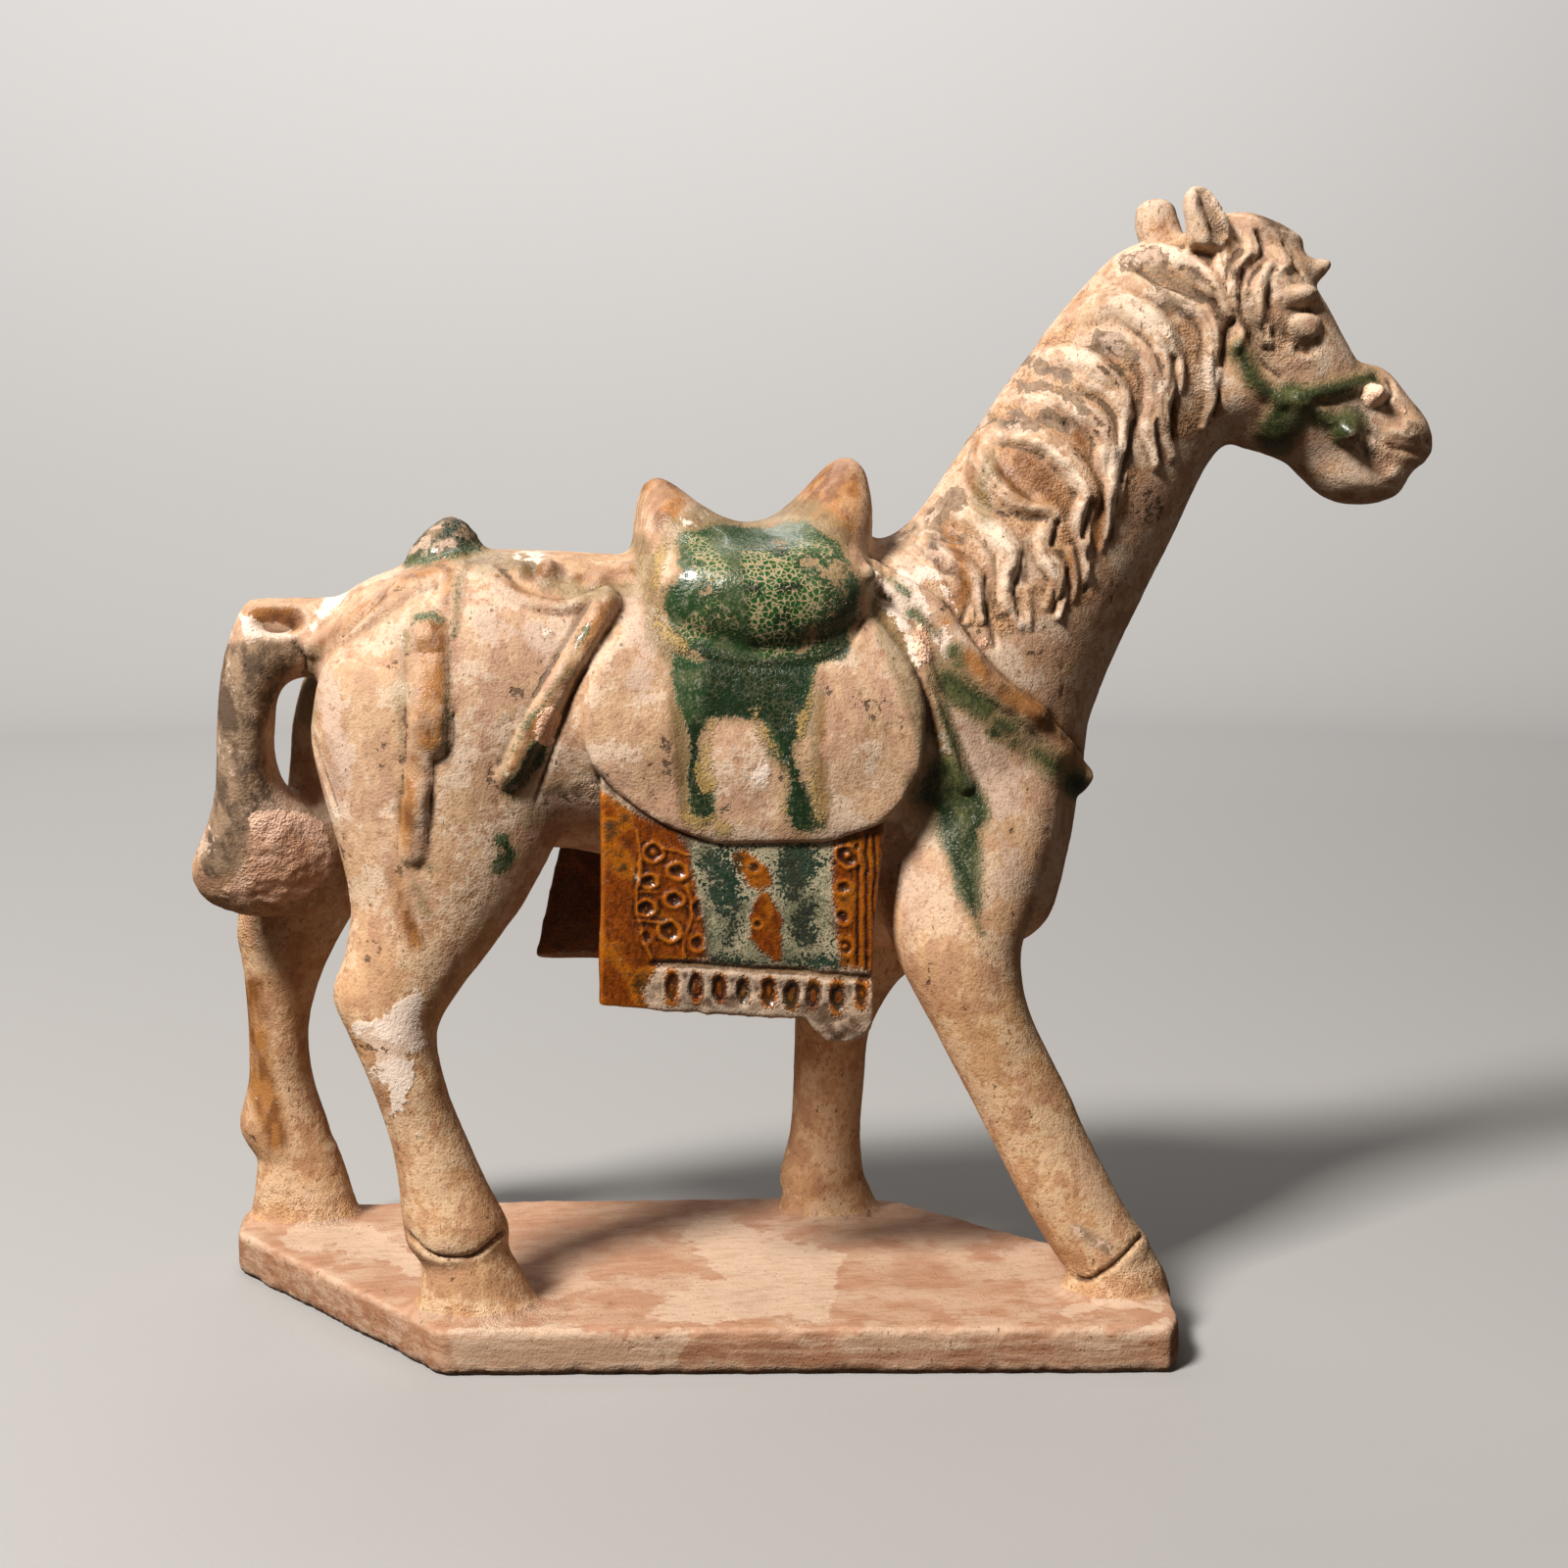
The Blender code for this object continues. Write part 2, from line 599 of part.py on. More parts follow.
def make_slab(home):
    """The slab: an uneven outline round the four hooves, with softened edges and a flat underside."""
    curve = bpy.data.curves.new("slab outline", "CURVE")
    curve.dimensions = "2D"
    curve.fill_mode = "BOTH"
    curve.extrude = SLAB_THICKNESS / 2
    corners = curve.splines.new("POLY")
    corners.points.add(len(SLAB_CORNERS) - 1)
    for corner, (hoof, across, away) in zip(corners.points, SLAB_CORNERS):
        x, y = HOOVES[hoof]
        corner.co = (x * UNIT + across, y * UNIT + away, SLAB_THICKNESS / 2, 1)
    corners.use_cyclic_u = True
    outline = add_object("slab outline", curve, home)
    mesh = bpy.data.meshes.new_from_object(outline.evaluated_get(bpy.context.evaluated_depsgraph_get()))
    bpy.data.objects.remove(outline)
    bm = bmesh.new()
    bm.from_mesh(mesh)
    bmesh.ops.remove_doubles(bm, verts=bm.verts, dist=SAME_CORNER)
    bmesh.ops.recalc_face_normals(bm, faces=bm.faces)
    bm.to_mesh(mesh)
    bm.free()
    slab = add_object("slab", mesh, home)
    rounding = slab.modifiers.new("worn edges", "BEVEL")
    rounding.width = SLAB_EDGE_ROUND
    rounding.segments = EDGE_SEGMENTS
    rounding.limit_method = "ANGLE"
    slab.hide_render = True
    slab.display_type = "WIRE"
    return slab


def clay():
    made = bpy.data.materials.new("glazed pottery")
    made.use_nodes = True
    shader = made.node_tree.nodes["Principled BSDF"]
    shader.inputs["Base Color"].default_value = CLAY_COLOUR
    shader.inputs["Roughness"].default_value = CLAY_ROUGHNESS
    shader.inputs["Metallic"].default_value = 0
    return made


def build():
    clear_scene()
    horse_home = collection("sancai horse")
    guides = collection("guides")
    body = lofted("body", BODY_FORMS, guides)
    skin = merged(body, CLAY_GRAIN)
    smooth(skin, BODY_EASING, hollows_only=True)
    body.data = skin
    added = lofted("added clay", ADDED_FORMS, guides)
    bm = bmesh.new()
    bm.from_mesh(body.data)
    bm.from_mesh(added.data)
    bm.to_mesh(body.data)
    bm.free()
    bpy.data.objects.remove(added)
    skin = merged(body, CLAY_GRAIN)
    smooth(skin, JOIN_EASING, hollows_only=True)
    add_relief(skin)
    smooth(skin, RELIEF_EASING, hollows_only=False)
    body.data = skin
    skin = merged(body, CLAY_GRAIN)
    bpy.data.objects.remove(body)
    skin.materials.append(clay())
    horse = add_object("sancai_horse", skin, horse_home)
    thinner = horse.modifiers.new("fewer faces", "DECIMATE")
    thinner.ratio = HORSE_TRIANGLES / (2 * len(skin.polygons))
    thinner.vertex_group = mark_plain_places(horse)
    thinner.vertex_group_factor = CARVING_CARE
    union = horse.modifiers.new("slab", "BOOLEAN")
    union.operation = "UNION"
    union.solver = "EXACT"
    union.object = make_slab(guides)
    return horse


build()
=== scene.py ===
"""The glazed pottery horse as it stands in its photograph: worn slip, green, amber and straw glaze."""

import itertools
import math

import bmesh
import bpy
import numpy as np
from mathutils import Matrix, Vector


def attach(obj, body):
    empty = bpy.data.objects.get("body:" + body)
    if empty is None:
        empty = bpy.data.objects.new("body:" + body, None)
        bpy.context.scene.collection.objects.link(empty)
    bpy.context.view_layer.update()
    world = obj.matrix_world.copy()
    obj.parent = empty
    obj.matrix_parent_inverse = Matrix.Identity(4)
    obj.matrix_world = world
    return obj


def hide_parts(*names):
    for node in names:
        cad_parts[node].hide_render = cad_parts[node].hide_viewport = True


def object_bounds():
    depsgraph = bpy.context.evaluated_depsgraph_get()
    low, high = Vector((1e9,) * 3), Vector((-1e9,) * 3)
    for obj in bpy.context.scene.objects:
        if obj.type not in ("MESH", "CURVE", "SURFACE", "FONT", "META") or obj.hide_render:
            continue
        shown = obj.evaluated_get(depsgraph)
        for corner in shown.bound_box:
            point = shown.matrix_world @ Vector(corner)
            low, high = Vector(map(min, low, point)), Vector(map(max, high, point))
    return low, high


# Lengths in metres.
HORSE_HEIGHT = 0.331
SLAB_THICKNESS = 0.014
SLAB_EDGE_ROUND = 0.0016
BODY_GRAIN = 0.0016
JOINED_GRAIN = 0.0019
CLOTH_GRAIN = 0.0005
SAME_CORNER = 0.00002

# How often the surface is eased towards its neighbours, and how finely the slab's edge is rounded.
BODY_EASING = 14
JOIN_EASING = 2
CLOTH_EASING = 14
EDGE_SEGMENTS = 2
# The underside is every face below this height that looks down at least this much.
UNDERSIDE = 0.0006
FACING_DOWN = -0.9

# The photograph's view: where the camera stands, its turn and its tilt, its lens and its frame in pixels.
CAMERA = (-0.08121, -0.74596, 0.25282)
TURN = math.radians(-8)
PITCH = math.atan(300 / 2500)
LENS = 56.25
SENSOR = 36
FRAME = 1600
CAMERA_CLIP = (0.05, 20)
FOCAL = LENS / SENSOR * FRAME

# The horse is drawn in shares of its height: one unit is a millimetre at the height above. x runs from tail
# to nose, z up from DRAWN_GROUND, where the hooves stand, and y from the near side, which is negative.
DRAWN_GROUND = 14
DRAWN_TOP = 345
UNIT = HORSE_HEIGHT / (DRAWN_TOP - DRAWN_GROUND)

RING = 32
STEPS = 5

# Each form is a run of sections: front or upper edge (x, z), rear or lower edge (x, z), half width and
# middle y.
TRUNK = [
    ((-117, 211), (-115, 170), 14, 0), ((-108, 223), (-104, 152), 29, 0), ((-92, 230.5), (-88, 146), 38, 0),
    ((-70, 235), (-66, 144), 42, 0), ((-42, 234.5), (-42, 144), 41, 0), ((-15, 233), (-15, 136), 41, 0),
    ((15, 233), (18, 124), 42, 0), ((42, 235), (50, 112), 42, 0), ((62, 238), (76, 108), 40, 0),
    ((85, 222), (96, 111), 36, 0), ((103, 202), (106, 120), 28, 0), ((114, 176), (111, 140), 17, 0),
]
NECK = [
    ((40, 226), (105, 124), 34, 0), ((54, 236), (115.5, 155), 33, 0), ((64, 244.5), (120, 182), 29, 0),
    ((76, 261), (128.5, 204), 26, 0), ((88.7, 279.8), (138, 223), 23, 0),
    ((103.2, 298.8), (147, 241), 20.5, 0), ((115.5, 314), (155.5, 258), 18, 0),
    ((126.5, 325), (163, 267), 16, 0), ((138.5, 330.5), (171, 269), 14, 0),
]
HEAD = [
    ((135, 322), (158, 276), 13, 0), ((148.5, 332), (166, 267), 16.5, 0), ((162, 335), (176, 264), 18.5, 0),
    ((176.5, 329.5), (184, 261), 18.5, 0), ((189.5, 315.5), (190, 257), 16.5, 0),
    ((197.5, 303), (198, 253), 14.5, 0), ((203.5, 293.5), (205, 252), 13, 0),
    ((207.5, 292.6), (210, 253), 12.5, 0), ((213.5, 290.5), (214, 255), 12.5, 0),
    ((220.5, 282.5), (219, 258), 12, 0), ((227, 275), (224, 259), 10, 0),
    ((229.5, 267), (227.5, 261), 6, 0),
]
CHIN = [
    ((184, 270), (187, 258), 9, 0), ((196, 268), (197, 249.5), 12, 0), ((208, 266), (208, 248), 12, 0),
    ((217, 264), (217, 250), 10, 0), ((221.5, 259), (220.5, 253), 6, 0),
]
NEAR_FORELEG = [
    ((106, 176), (56, 176), 11, -24), ((104, 152), (50, 152), 16, -28), ((97, 132), (48, 132), 17.5, -33),
    ((90, 117), (51, 118), 16.5, -38), ((90.5, 103), (57.5, 103), 15, -41),
    ((94.5, 92), (65, 89), 13.5, -43), ((102, 76), (74, 72), 12.5, -45), ((110, 59), (81, 57), 12, -47),
    ((116.5, 46), (88, 43), 12.5, -49), ((122, 36), (94.5, 31.5), 13.5, -50),
    ((127.5, 28.5), (100.5, 22.5), 13.5, -51), ((126, 25), (104, 18), 11.5, -52),
]
NEAR_FOREHOOF = [
    ((127.5, 27), (102, 18), 11.5, -52), ((132.5, 18), (101, 13), 14, -52),
    ((134.5, 8), (99, 6), 15.5, -52),
]
FAR_FORELEG = [
    ((110, 176), (56, 176), 11, 24), ((113, 150), (52, 150), 15, 27), ((112.5, 130), (46, 132), 16, 30),
    ((104, 111), (40, 114), 15, 34), ((72, 96), (34, 98), 13.5, 38), ((59, 78), (33, 79), 12, 41),
    ((56.5, 58), (32.5, 58), 11.5, 42), ((55, 40), (31.5, 40), 12, 42), ((56, 27), (28, 26), 13.5, 42),
    ((56.5, 21), (29, 19), 12, 42),
]
FAR_FOREHOOF = [
    ((57, 24), (29, 22), 11.5, 41), ((61, 16), (28, 15), 13, 41), ((67, 6), (27, 6), 14, 41),
]
NEAR_HINDLEG = [
    ((-52, 208), (-108, 210), 12, -20), ((-46, 195), (-116, 200), 20, -22),
    ((-43, 175), (-119, 184), 21, -24), ((-46, 155), (-116.5, 168), 20, -26),
    ((-55, 137), (-111.5, 150), 17.5, -29), ((-63, 125), (-108.5, 134), 15, -31),
    ((-74, 111), (-110, 119), 13, -33), ((-82.5, 99), (-114, 107.5), 12, -35),
    ((-83.5, 88), (-109, 94.5), 11.5, -36), ((-80, 75), (-103.5, 81), 11, -37),
    ((-74.5, 61), (-98.8, 66.5), 11, -37), ((-68.5, 48), (-96, 52.5), 12, -38),
    ((-64, 38.5), (-95, 40), 13.5, -39), ((-64, 32.5), (-94, 33), 13.5, -39),
    ((-67, 29), (-90, 28.5), 11, -40),
]
NEAR_HINDHOOF = [
    ((-64.5, 31.5), (-88.5, 31), 11, -40), ((-61, 25), (-90, 22), 13, -40), ((-52, 8), (-93, 6), 15.5, -40),
]
FAR_HINDLEG = [
    ((-52, 208), (-108, 210), 12, 20), ((-52, 195), (-121, 199), 20, 22), ((-58, 176), (-126, 186), 20, 24),
    ((-70, 156), (-128.5, 168), 18, 28), ((-88, 138), (-132, 148), 15, 35),
    ((-102, 126), (-140, 131), 13, 43), ((-112, 114), (-147.5, 115), 12, 50),
    ((-120, 98), (-146.3, 98), 11, 54), ((-125.5, 80), (-145.3, 81), 10, 56),
    ((-125, 62), (-145.5, 62), 10.5, 58), ((-120.5, 46), (-149, 45), 11.5, 58),
    ((-117, 35), (-144, 35), 11.5, 58),
]
FAR_HINDHOOF = [
    ((-117, 38), (-143, 37), 10.5, 58), ((-112, 20), (-145.5, 20), 12.5, 58),
    ((-107, 6), (-148, 6), 14, 58),
]
TAIL = [
    ((-104, 222), (-104, 199), 8, 0), ((-114, 221), (-114, 198), 9.5, 0), ((-126, 221), (-121, 197), 10, 0),
    ((-138, 220), (-127, 195), 10.5, 0), ((-144, 208), (-129.5, 190), 11, 2),
    ((-147, 195), (-130.5, 184), 11, 4), ((-148.5, 180), (-131, 174), 11, 7),
    ((-149.5, 163), (-128, 163), 12, 11), ((-154, 148), (-118, 152), 13, 15),
    ((-158.5, 136), (-110, 140), 14, 20), ((-154, 126), (-111, 127), 12, 24),
    ((-143, 120.5), (-118, 121), 7, 27),
]
SADDLE_SEAT = [
    ((-22, 238), (-21.5, 224), 16, 0), ((-20.8, 250), (-20, 214), 24, 0),
    ((-18.3, 255.8), (-17, 207), 28, 0), ((-13.8, 256.7), (-12, 203), 31, 0),
    ((-9.4, 254.3), (-6, 201), 34, 0), ((-1.9, 248.4), (2, 200), 38, 0), ((7, 243.9), (9, 200), 41, 0),
    ((14.6, 243.3), (16, 200), 41, 0), ((23.6, 246.9), (24, 200), 39, 0), ((32.7, 255.8), (32, 201), 35, 0),
    ((38.8, 261.7), (38, 205), 31, 0), ((44.2, 262.6), (42.5, 211), 28, 0), ((48, 258), (46, 220), 23, 0),
    ((49, 248), (47.5, 230), 15, 0),
]
SADDLE_SKIRT = [
    ((-20.5, 231), (-20.5, 220), 33, 0), ((-18.5, 236), (-18, 211), 38, 0), ((-12, 240), (-12, 204), 43, 0),
    ((0, 241.5), (1, 199.5), 46.5, 0), ((10, 241), (10, 197.5), 48, 0), ((20, 241.5), (20, 198), 48, 0),
    ((31, 242), (31, 200.5), 46.5, 0), ((39, 240), (39, 206.5), 43, 0), ((43.5, 236), (43.5, 213), 38.5, 0),
    ((45.5, 230), (45.5, 221), 33, 0),
]
FLAP = [
    ((30, 150.5), (-3, 151), 2.8, -46.5), ((45, 156), (-17, 156.5), 3.8, -46.5),
    ((53, 163.5), (-28, 163), 4, -46), ((57.5, 172), (-37, 172), 4, -45.5),
    ((59, 183), (-41, 183), 4, -44.5), ((58.5, 194), (-40.5, 194), 4, -43), ((54, 204), (-36, 205), 4, -40),
    ((48, 213), (-28, 213.5), 4, -36), ((42, 220), (-20, 220), 3.5, -31),
]
NEAR_CLOTH = [
    ((48, 172), (-36, 172), 3, -42.5), ((47.5, 156), (-36.3, 160), 3, -44.5),
    ((44.5, 128), (-36.8, 130), 3, -45.5), ((43.5, 106), (-37.3, 109), 3, -45.5),
    ((43, 97.5), (-37.4, 104), 3, -45.5),
]
FAR_CLOTH = [
    ((48, 172), (-36, 172), 3, 42.5), ((47.5, 156), (-38.5, 158), 3, 43.5),
    ((44.5, 128), (-46, 130), 3, 43.5), ((43.5, 106), (-51, 108), 3, 43), ((43, 98), (-52.5, 101.5), 3, 43),
]
# The cloth's front corner droops below its hem.
CLOTH_CORNER = [
    ((43.3, 106), (20, 106), 3.2, -45.5), ((43, 98), (24, 98), 3.2, -45.5),
    ((41, 94), (27, 94.5), 3, -45.5), ((37, 91.8), (30, 92), 2.5, -45.5),
]
NEAR_EAR = [
    ((160, 328), (145, 326), 5, -12), ((157.5, 334), (144.5, 333), 4.8, -12.5),
    ((155, 340), (143.3, 339.5), 4, -12.5), ((151.5, 344.3), (145.5, 344), 2.6, -12.5),
]
FAR_EAR = [
    ((154, 328), (139, 325), 5, 12), ((151, 335), (136.5, 333), 5.5, 13),
    ((149, 341), (136.5, 339.5), 5.2, 13), ((145.5, 343.5), (139.5, 343), 3.2, 13),
]
UPPER_TUFT = [
    ((156, 337), (158, 328), 9, 0), ((167, 338), (165, 327), 10.5, -1), ((176, 335.5), (172, 325), 10, -1),
    ((183, 332), (178, 325), 7.5, -1), ((186.5, 329.5), (184.5, 325.5), 3.5, -1),
]
LOWER_TUFT = [
    ((176, 331), (171, 320), 10, -1), ((183.5, 327), (178, 316), 9, -2),
    ((188.5, 324), (184.5, 315), 6, -3), ((193.5, 324.3), (191, 317.5), 4, -3),
    ((195.3, 323), (194, 320.5), 2, -3),
]
# A pointed boss stands on the croup, where the harness straps meet.
BOSS = [
    ((-66, 229), (-91, 229), 13, 0), ((-67.5, 235), (-90, 235), 12, 0), ((-71, 240.5), (-85, 240.5), 8, 0),
    ((-75.5, 245), (-79, 245), 2.5, 0),
]
BODY_FORMS = {
    "trunk": TRUNK,
    "neck": NECK,
    "head": HEAD,
    "chin": CHIN,
    "near foreleg": NEAR_FORELEG,
    "far foreleg": FAR_FORELEG,
    "near hindleg": NEAR_HINDLEG,
    "far hindleg": FAR_HINDLEG,
    "tail": TAIL,
    "seat": SADDLE_SEAT,
    "skirt": SADDLE_SKIRT,
}
CLOTH_FORMS = {"near cloth": NEAR_CLOTH, "cloth corner": CLOTH_CORNER}
ADDED_FORMS = {
    "far cloth": FAR_CLOTH,
    "near flap": FLAP,
    "far flap": [(front, rear, half, -y) for front, rear, half, y in FLAP],
    "near ear": NEAR_EAR,
    "far ear": FAR_EAR,
    "upper tuft": UPPER_TUFT,
    "lower tuft": LOWER_TUFT,
    "near forehoof": NEAR_FOREHOOF,
    "far forehoof": FAR_FOREHOOF,
    "near hindhoof": NEAR_HINDHOOF,
    "far hindhoof": FAR_HINDHOOF,
    "boss": BOSS,
}
# 2 is an ellipse, more is squarer: the flaps and cloths are flat plates.
SQUARENESS = {"trunk": 2.3, "head": 2.3, "skirt": 2.5}
SQUARENESS.update(dict.fromkeys(("near flap", "far flap", "near cloth", "far cloth", "cloth corner"), 9))
PLAIN_SQUARENESS = 2

# Ridges drawn on the side of the horse: half width, height and points (x, z). A minus height cuts a groove.
MANE = [
    (2.7, 3.2, [(64, 240), (66, 236), (70, 233), (75, 229), (78, 225), (79, 219), (79, 214)]),
    (4.0, 3.0, [(70, 249), (77, 245), (84, 240), (88, 234), (88, 227), (87, 220), (91, 213)]),
    (3.4, 3.4, [(90, 272), (83, 268), (82, 261), (85, 254), (91, 249), (99, 247)]),
    (3.8, 3.4, [(86, 271), (95, 270), (104, 264), (110, 257), (113, 251), (110, 243), (112, 234),
        (113, 226)]),
    (3.0, 3.0, [(98, 249), (102, 244), (99, 239), (99, 233), (103, 228), (104, 221), (103, 215)]),
    (3.8, 3.0, [(98, 279), (107, 278), (115, 274), (119, 267), (118, 259), (120, 251), (119, 239)]),
    (2.8, 3.2, [(112, 286), (120, 282), (125, 274), (123, 264), (122, 254), (120, 240)]),
    (3.6, 3.0, [(99, 292), (109, 293), (118, 288), (124, 280), (126, 271)]),
    (3.2, 2.4, [(90, 282), (99, 281), (109, 277), (116, 270)]),
    (4.6, 3.4, [(112, 306), (123, 310), (132, 305), (138, 296), (139, 286), (136, 278), (138, 270),
        (141, 263)]),
    (3.4, 2.6, [(114, 299), (126, 297), (133, 289), (134, 279), (132, 272), (135, 260)]),
    (3.6, 3.2, [(128, 322), (134, 325), (142, 323), (149, 318), (154, 312), (158, 305)]),
    (3.2, 2.8, [(126, 318), (132, 314), (140, 311), (149, 307), (153, 300), (153, 290), (153, 280),
        (151, 272)]),
    (2.6, 2.6, [(151, 328), (156, 324), (155, 317), (158, 311), (162, 305)]),
    (3.0, 2.8, [(157, 334), (165, 330), (165, 323), (160, 317), (161, 310), (165, 303), (168, 297)]),
    (3.0, 2.6, [(166, 334), (173, 328), (176, 322), (170, 318), (166, 311), (169, 304), (170, 297)]),
    (2.4, 2.0, [(77, 270), (79, 262), (83, 252), (90, 245)]),
]
STRAPS = [
    (3.4, 1.8, [(-118, 207), (-101, 218), (-90, 226), (-76, 232)]),
    (2.4, 1.4, [(-76, 231), (-77, 222), (-79, 212)]),
    (1.6, 1.2, [(-79, 216), (-79.3, 205), (-79.5, 197), (-79.8, 182)]),
    (5.2, 3.0, [(-84.5, 213), (-84.8, 182)]),
    (3.4, 2.4, [(-87, 180), (-90, 150)]),
    (3.6, 3.4, [(-33, 220), (-42, 206), (-50, 193), (-58, 179), (-62, 171)]),
    (1.6, 1.4, [(-66, 229), (-58, 222), (-46, 219), (-35, 222)]),
    (3.4, 2.6, [(45, 229), (64, 217), (72, 206), (82, 194), (95, 185), (108, 172), (115, 162)]),
    (2.6, 2.0, [(48, 218), (57, 208), (62.5, 193), (66, 181), (72, 166)]),
]
FACE_LINES = [
    (1.3, -1.8, [(205, 270), (213, 266), (223, 264), (231, 262)]),
    (1.5, -1.8, [(174, 310), (178, 308), (184, 307), (188, 308)]),
]
EAR_HOLLOW = (2.4, -2.4, [(149.5, 343), (152.5, 337), (154.5, 330)])
FACE_LINE_SHARES = (0.5, 0.35)
STRAP_WIDTH = 1.12
# Bumps and hollows: middle (x, z), half sizes (x, z), height.
BOSSES = [
    ((180, 301), (11, 10), -2.2), ((186.5, 297.5), (3.6, 4), -0.8), ((182, 312), (7.4, 4.2), 2.0),
    ((160, 281), (13, 12), 2.4), ((166, 265), (7, 4), 1.4), ((196.5, 270.5), (4.4, 4.2), 4.0),
    ((205.5, 282), (4.4, 4.2), 4.2), ((219, 272), (8, 7), 1.6), ((226, 268), (2.6, 2.2), -1.6),
    ((95, 186), (7, 5.5), 2.6), ((113, 164), (5, 7), 2.6), ((-57.5, 229), (4, 3.4), 2.2),
    ((-49, 228.5), (5, 4.2), 3.4), ((-35, 226), (5, 3.6), 2.4), ((-26, 229), (4.6, 4), 2.4),
]
# The tail's root is a torn loop, open on the near side; its hollow is there only.
TAIL_HOLLOW = ((-128.5, 214), (9.5, 5.4), -6.5)

# Fading of the relief where the side turns away, as the share of the surface's normal along y.
SIDE_FADE = (0.2, 0.55)

# A lock of the mane: its width, how far it narrows and from where along it, and the strands combed into it.
LOCK_WIDTH = 1.12
LOCK_POINT = 0.62
LOCK_NARROWS = 0.62
STRANDS = 3
STRAND_DEPTH = 0.32
# Its rounded section, how it rises from its root and where it is full, and how it fades to its tip.
LOCK_SIDES = 2.2
LOCK_TOP = 0.8
LOCK_ROOT = 0.45
LOCK_GROWN = 0.45
LOCK_TIP = 0.3
LOCK_FADES = 0.75
# The locks stay clear of the crest, in the view's pixels.
CREST_CLEAR = (6, 28)

# The slab's corners, each placed in metres from the middle of a hoof.
HOOVES = {"near fore": (118, -52), "far fore": (47, 41), "near hind": (-72, -40), "far hind": (-128, 58)}
SLAB_CORNERS = [
    ("near hind", -0.013, -0.021),
    ("near fore", 0.006, -0.036),
    ("near fore", 0.011, -0.027),
    ("near fore", 0.0175, 0.012),
    ("far fore", 0.020, 0.010),
    ("far fore", 0.004, 0.018),
    ("far fore", -0.020, 0.017),
    ("far hind", 0.020, 0.013),
    ("far hind", -0.004, 0.018),
    ("far hind", -0.022, 0.006),
    ("far hind", -0.021, -0.016),
]

# How the colours drawn on the view blend at their edges, in its pixels.
BLEND = 12
CURVE_STEPS = 4
# Which far parts take the near side's colours, mirrored, in drawn units. CLOTH_SEEN is the outline
# (x, z) of the far cloth where it hangs free of the flap.
CLOTH_FROM_Y = 38
CLOTH_SEEN = [(43.9, 96.8), (45.3, 128), (48.3, 152), (-8, 152), (-37.6, 166), (-39.2, 158)]
CLOTH_SEEN += [(-46.8, 130), (-52, 108), (-53.6, 97)]
LEGS_TOP = 150
FAR_LEG_Y = 12
TAIL_ROOT = -104
# Where the slip holds: on the body, and on the mane, which fades in from MANE_X and MANE_Z.
SLIP_HELD = 0.755
MANE_SLIP_HELD = 0.71
MANE_X = (56, 70)
MANE_Z = (196, 214)
# The legs turn tan between these drawn heights, and the slab's side, darkened as painted shade, starts just
# under its top.
TAN_LEGS = (165, 95)
SLAB_SIDE = (SLAB_THICKNESS - 0.001, SLAB_THICKNESS - 0.003)
# Rounds of easing that a fine and a wide hollow are measured against, and the depths that count as full.
HOLLOWS = (2, 16)
CLOTH_HOLLOWS = (8, 50)
HOLLOW_DEPTHS = (0.00016, 0.0009)
# Layered noise stored on the skin: name, size in metres and stretch along z.
CLOUDS = (("broad", 0.032, 1), ("patches", 0.0085, 1), ("streaks", 0.0036, 0.42))

# Layers of lumps: height, size in metres and seed. The heights are millimetres, shares or pixels.
LUMPS = ((0.32, 0.012, 1), (0.07, 0.0042, 2), (0.05, 0.0019, 3))
BROKEN = ((0.24, 0.0025, 6), (0.34, 0.0065, 7), (0.14, 0.0014, 8))
STRAP_WEAR = ((0.32, 0.011, 31), (0.18, 0.004, 32))
LOCK_WEAR = ((0.42, 0.009, 33), (0.30, 0.0045, 34))
CLOTH_SHAKE_U = ((1.6, 0.004, 41), (0.7, 0.0016, 42))
CLOTH_SHAKE_V = ((1.6, 0.004, 43), (0.7, 0.0016, 44))
FRINGE_WEAR = ((0.5, 0.003, 45),)
# Pits: depth, then size, seed and edge of the pits and of the fields they lie in.
PIT_DEPTH = 0.35
PITS = (0.0021, 4, 0.62, 0.85)
PIT_FIELDS = (0.014, 5, -0.1, 0.5)
# The slab's edges are chipped where they turn between flat and upright.
SLAB_CHIPS = 0.75
CHIPPED_TURN = (0.2, 0.95)
CHIPPED_TO = SLAB_THICKNESS + 0.0005
# Large odd numbers that mix a cell's place and the seed, so that every lump gets its own height.
HASH_STEPS = (73856093, 19349663, 83492791, 49979687)
HASH_MIXERS = ((15, 2246822519), (13, 3266489917))

# Where the fine skin is parted into pieces, in drawn units.
HEAD_FROM_X = 58
HEAD_FROM_Z = 206
SADDLE_TO = 60
HIND_TO = -45
SLAB_TO = DRAWN_GROUND + 1.5
PIECE_NAMES = ("head_and_mane", "forequarters", "saddle_and_flaps", "hindquarters", "clay_slab")
CRACKLED = ("saddle_and_flaps", "hindquarters")

